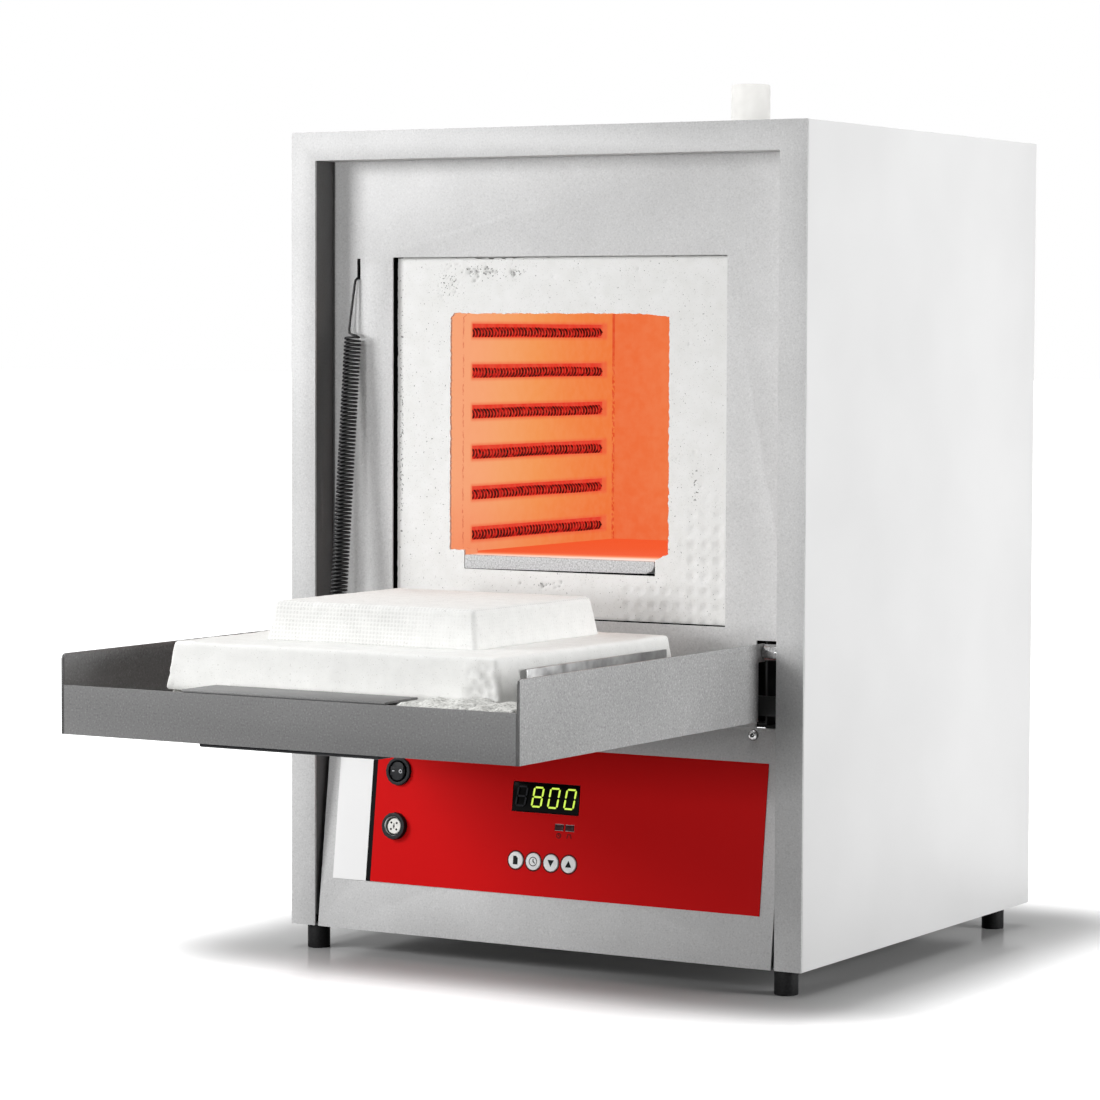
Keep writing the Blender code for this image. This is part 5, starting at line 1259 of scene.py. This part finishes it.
# %% Keys
KEY_UP, KEY_R, KEY_FACE = 0.0539, 0.00545, 0.0013
PAGE = [(-0.0017, -0.0027), (0.0017, -0.0027), (0.0017, 0.0014), (0.0004, 0.0027), (-0.0017, 0.0027)]
DOWN = [(-0.0023, 0.0019), (0, -0.0024), (0.0023, 0.0019)]
HAND = [(-0.0003, 0), (0.0012, -0.0013), (0.0015, -0.0009), (0.0003, 0.0005), (0.0003, 0.0018), (-0.0003, 0.0018)]
KEY_SIGNS = {"key_page": [PAGE], "key_clock": [HAND], "key_down": [DOWN], "key_up": [[(-x, -y) for x, y in DOWN]]}
for i, (key, signs) in enumerate(KEY_SIGNS.items()):
    x = -0.0188 + 0.013 * i
    cap = skin(edged(key, key + "_cap", 0.25), "white_silicone_rubber")
    marks = [plate("sign", points, KEY_FACE - 0.0002, KEY_FACE + 0.00006) for points in signs]
    if key == "key_clock":
        marks.append(ring_print("sign_ring", 0.0030, 0.0025, KEY_FACE - 0.0002, KEY_FACE + 0.00006))
    for piece in marks:
        skin(piece, "black_print_and_hole_shade")
        settle(piece, on_panel(x, KEY_UP))
    dress(join(key + "_cap", [cap] + marks), key, "key_white", key)
    rim = ring_print("rim_print_%d" % i, KEY_R + 0.0009, KEY_R + 0.0001, -0.0001, 0.00008, 40)
    settle(rim, on_panel(x, KEY_UP, FILM_FACE))
    dress(rim, "cabinet", "red_film", material="dark_red_print")

# %% Rocker switch
SWITCH_X, SWITCH_UP = -0.111, 0.1048
dress(edged("switch_body", "switch_bezel", 0.4), "cabinet", "black_plastic", "switch_body",
      material="moulded_black_abs")
rocker = skin(edged("switch_rocker", "switch_paddle", 0.5), "moulded_black_abs")
TILT, PIN_DEPTH, CROWN, PADDLE_R = math.radians(8), 0.0015, 0.0040, 0.0062
tilted = on_panel(SWITCH_X, SWITCH_UP, -PIN_DEPTH) @ Matrix.Rotation(-TILT, 4, "Y")
paddle = spun("paddle", [(0, CROWN - 0.0016), (PADDLE_R, CROWN - 0.0016), (PADDLE_R, CROWN - 0.0003),
                         (PADDLE_R - 0.0003, CROWN), (PADDLE_R - 0.0009, CROWN + 0.0001), (0, CROWN + 0.0004)], 40)
skin(paddle, "moulded_black_abs")
settle(paddle, tilted)
dash = plate("sign_on", [(-0.0040, -0.00026), (-0.0021, -0.00026), (-0.0021, 0.00026), (-0.0040, 0.00026)],
             CROWN - 0.0004, CROWN + 0.00045)
ring = ring_print("sign_off", 0.00125, 0.0008, CROWN - 0.0004, CROWN + 0.00045)
settle(ring, Matrix.Translation((0.0030, 0, 0)))
for piece in (dash, ring):
    skin(piece, "white_print")
    settle(piece, tilted)
dress(join("switch_paddle", [rocker, paddle, dash, ring]), "rocker", "black_plastic", "switch_rocker")

# %% Socket
SOCKET_X, SOCKET_UP = -0.111, 0.0692
shell = skin(edged("socket_shell", "socket_rim", 0.5), "moulded_black_abs")
collar = spun("socket_collar", [(0.0057, 0.0012), (0.00635, 0.0012), (0.00635, 0.0043), (0.0062, 0.0046),
                                (0.0059, 0.0044), (0.0057, 0.0036), (0.0057, 0.0012)], 48)
skin(collar, "polished_steel")
insert = spun("socket_face", [(0, -0.0052), (0.0050, -0.0052), (0.0050, 0.0026), (0.0047, 0.0030), (0, 0.0030)], 40)
skin(insert, "cream_moulded_plastic")
holes = []
for x, y in ((0, 0), (-0.0021, 0.0021), (0.0021, 0.0021), (-0.0021, -0.0021), (0.0021, -0.0021)):
    pin = spun("contact", [(0, 0.0026), (0.00072, 0.0026), (0.00072, 0.0031), (0, 0.0031)], 12)
    holes.append(settle(pin, Matrix.Translation((x, y, 0))))
for x, y in ((0, 0.0012), (0, -0.0012)):
    holes.append(plate("keyway", [(x - 0.0005, y - 0.0003), (x + 0.0005, y - 0.0003), (x + 0.0005, y + 0.0003),
                                  (x - 0.0005, y + 0.0003)], 0.0026, 0.0031))
# The contact holes and keyways are black discs, as painted shade for the holes.
for pin in holes:
    skin(pin, "black_print_and_hole_shade")
for piece in [collar, insert] + holes:
    settle(piece, on_panel(SOCKET_X, SOCKET_UP))
dress(join("socket_rim", [shell, collar, insert] + holes), "cabinet", "black_plastic", "socket_shell", "socket_insert")

# %% [markdown]
# ## Nodes that keep their CAD shape
#
# What is left is mostly inside: boards, the steel shell, the bridge, the electronics. Their CAD
# shape is right, and each gets the finish of what it is made of.

# %% Finishes for the kept nodes
KEPT = {
    "glowing_fibre_board": ("floor_insulation", "roof_insulation", "back_insulation"),
    "shade_black_steel": ("bridge", "insulation_shell", "insulation_back_plate"),
    "zinc_plated_steel": ("relay_heat_sink",),
    "glazed_ceramic": ("terminal_bar_left", "terminal_bar_right", "thermocouple_sheath", "thermocouple_head"),
    "moulded_black_abs": ("controller_module", "board_frame", "solid_state_relay"),
    "green_circuit_laminate": ("key_board",),
    "printed_polyester_film": ("panel_film",),
}
for material, nodes in KEPT.items():
    for node in nodes:
        skin(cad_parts[node], material)
print("kept nodes:", sum(len(nodes) for nodes in KEPT.values()))

# %% [markdown]
# ## Floor and light
#
# The photograph was taken on white. The floor darkens for the camera under and close to the
# furnace, as a painted shadow, and fades to pure white away from it. Four soft lamps stand on the
# left, in front, on the right and above, and a dim white sky fills the rest.

# %% Floor
GLOW_START, GLOW_END, SHADOW_START, SHADOW_END = 0.03, 0.18, 0.01, 0.11
bpy.ops.object.select_all(action="DESELECT")
bpy.ops.mesh.primitive_plane_add(size=60)
floor = named("studio_floor")
shader, place = start("matt_white_floor", "F2F2F2", 0.12, IOR=1.05)
case_low, case_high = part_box("outer_case")
centre, half = (case_low + case_high) / 2, (case_high - case_low) / 2
off = arrow("ABSOLUTE", arrow("SUBTRACT", place, (centre.x, centre.y, 0)))
away = arrow("LENGTH", arrow("MAXIMUM", arrow("SUBTRACT", off, (half.x, half.y, 0))))
rays = add(place, "LightPath").outputs
seen = reckon("MAXIMUM", rays["Is Camera Ray"], rays["Is Glossy Ray"])
# Close to the furnace the floor's white lift stays low and its colour is grey: a painted shadow.
lift = add(away, "MapRange", {"Value": span(away, GLOW_START, GLOW_END), "To Min": 0.006, "To Max": 1.0})
colour_by(shader, times(seen, lift.outputs["Result"]), "Emission Strength")
shader.inputs["Emission Color"].default_value = rgb("FFFFFF")
paper = ramp(grain(place, 300, 1.0), [(0.3, "F0F0F0"), (0.7, "F4F4F4")])
paper = blend(span(away, SHADOW_START, SHADOW_END), rgb("B2B2B2"), paper)
colour_by(shader, blend(seen, rgb("303030"), paper))
skin(floor, "matt_white_floor")

# %% World
SKY = 0.15
world = bpy.data.worlds.new("white_studio")
bpy.context.scene.world = world
world.use_nodes = True
sky = world.node_tree.nodes["Background"]
rays = add(sky, "LightPath").outputs
seen = reckon("MAXIMUM", reckon("MAXIMUM", rays["Is Camera Ray"], rays["Is Transmission Ray"]), rays["Is Glossy Ray"])
level = add(sky, "MapRange", {"Value": seen, "To Min": SKY, "To Max": 1.0}).outputs["Result"]
sky.inputs["Color"].default_value = rgb("FFFFFF")
colour_by(sky, level, "Strength")


# %% Lamps
def soft_lamp(name, place, target, size, power):
    """A square soft box that looks at a point."""
    data = bpy.data.lights.new(name, "AREA")
    data.size = size
    data.energy = power
    lamp = bpy.data.objects.new(name, data)
    bpy.context.scene.collection.objects.link(lamp)
    way = Vector(target) - Vector(place)
    lamp.matrix_world = Matrix.Translation(place) @ way.to_track_quat("-Z", "Y").to_matrix().to_4x4()


soft_lamp("key_lamp", (-0.95, -0.95, 0.70), (-0.05, -0.05, 0.30), 0.5, 13.2)
soft_lamp("fill_lamp", (-0.35, -3.5, 0.45), (0.0, 0.0, 0.20), 0.6, 41)
soft_lamp("rim_lamp", (2.0, 0.4, 0.50), (0.19, 0.1, 0.25), 0.8, 31)
soft_lamp("top_lamp", (-0.1, 0.2, 2.2), (0.0, 0.0, 0.0), 1.2, 23.5)

# %% Colour management
bpy.context.scene.view_settings.view_transform = "Standard"
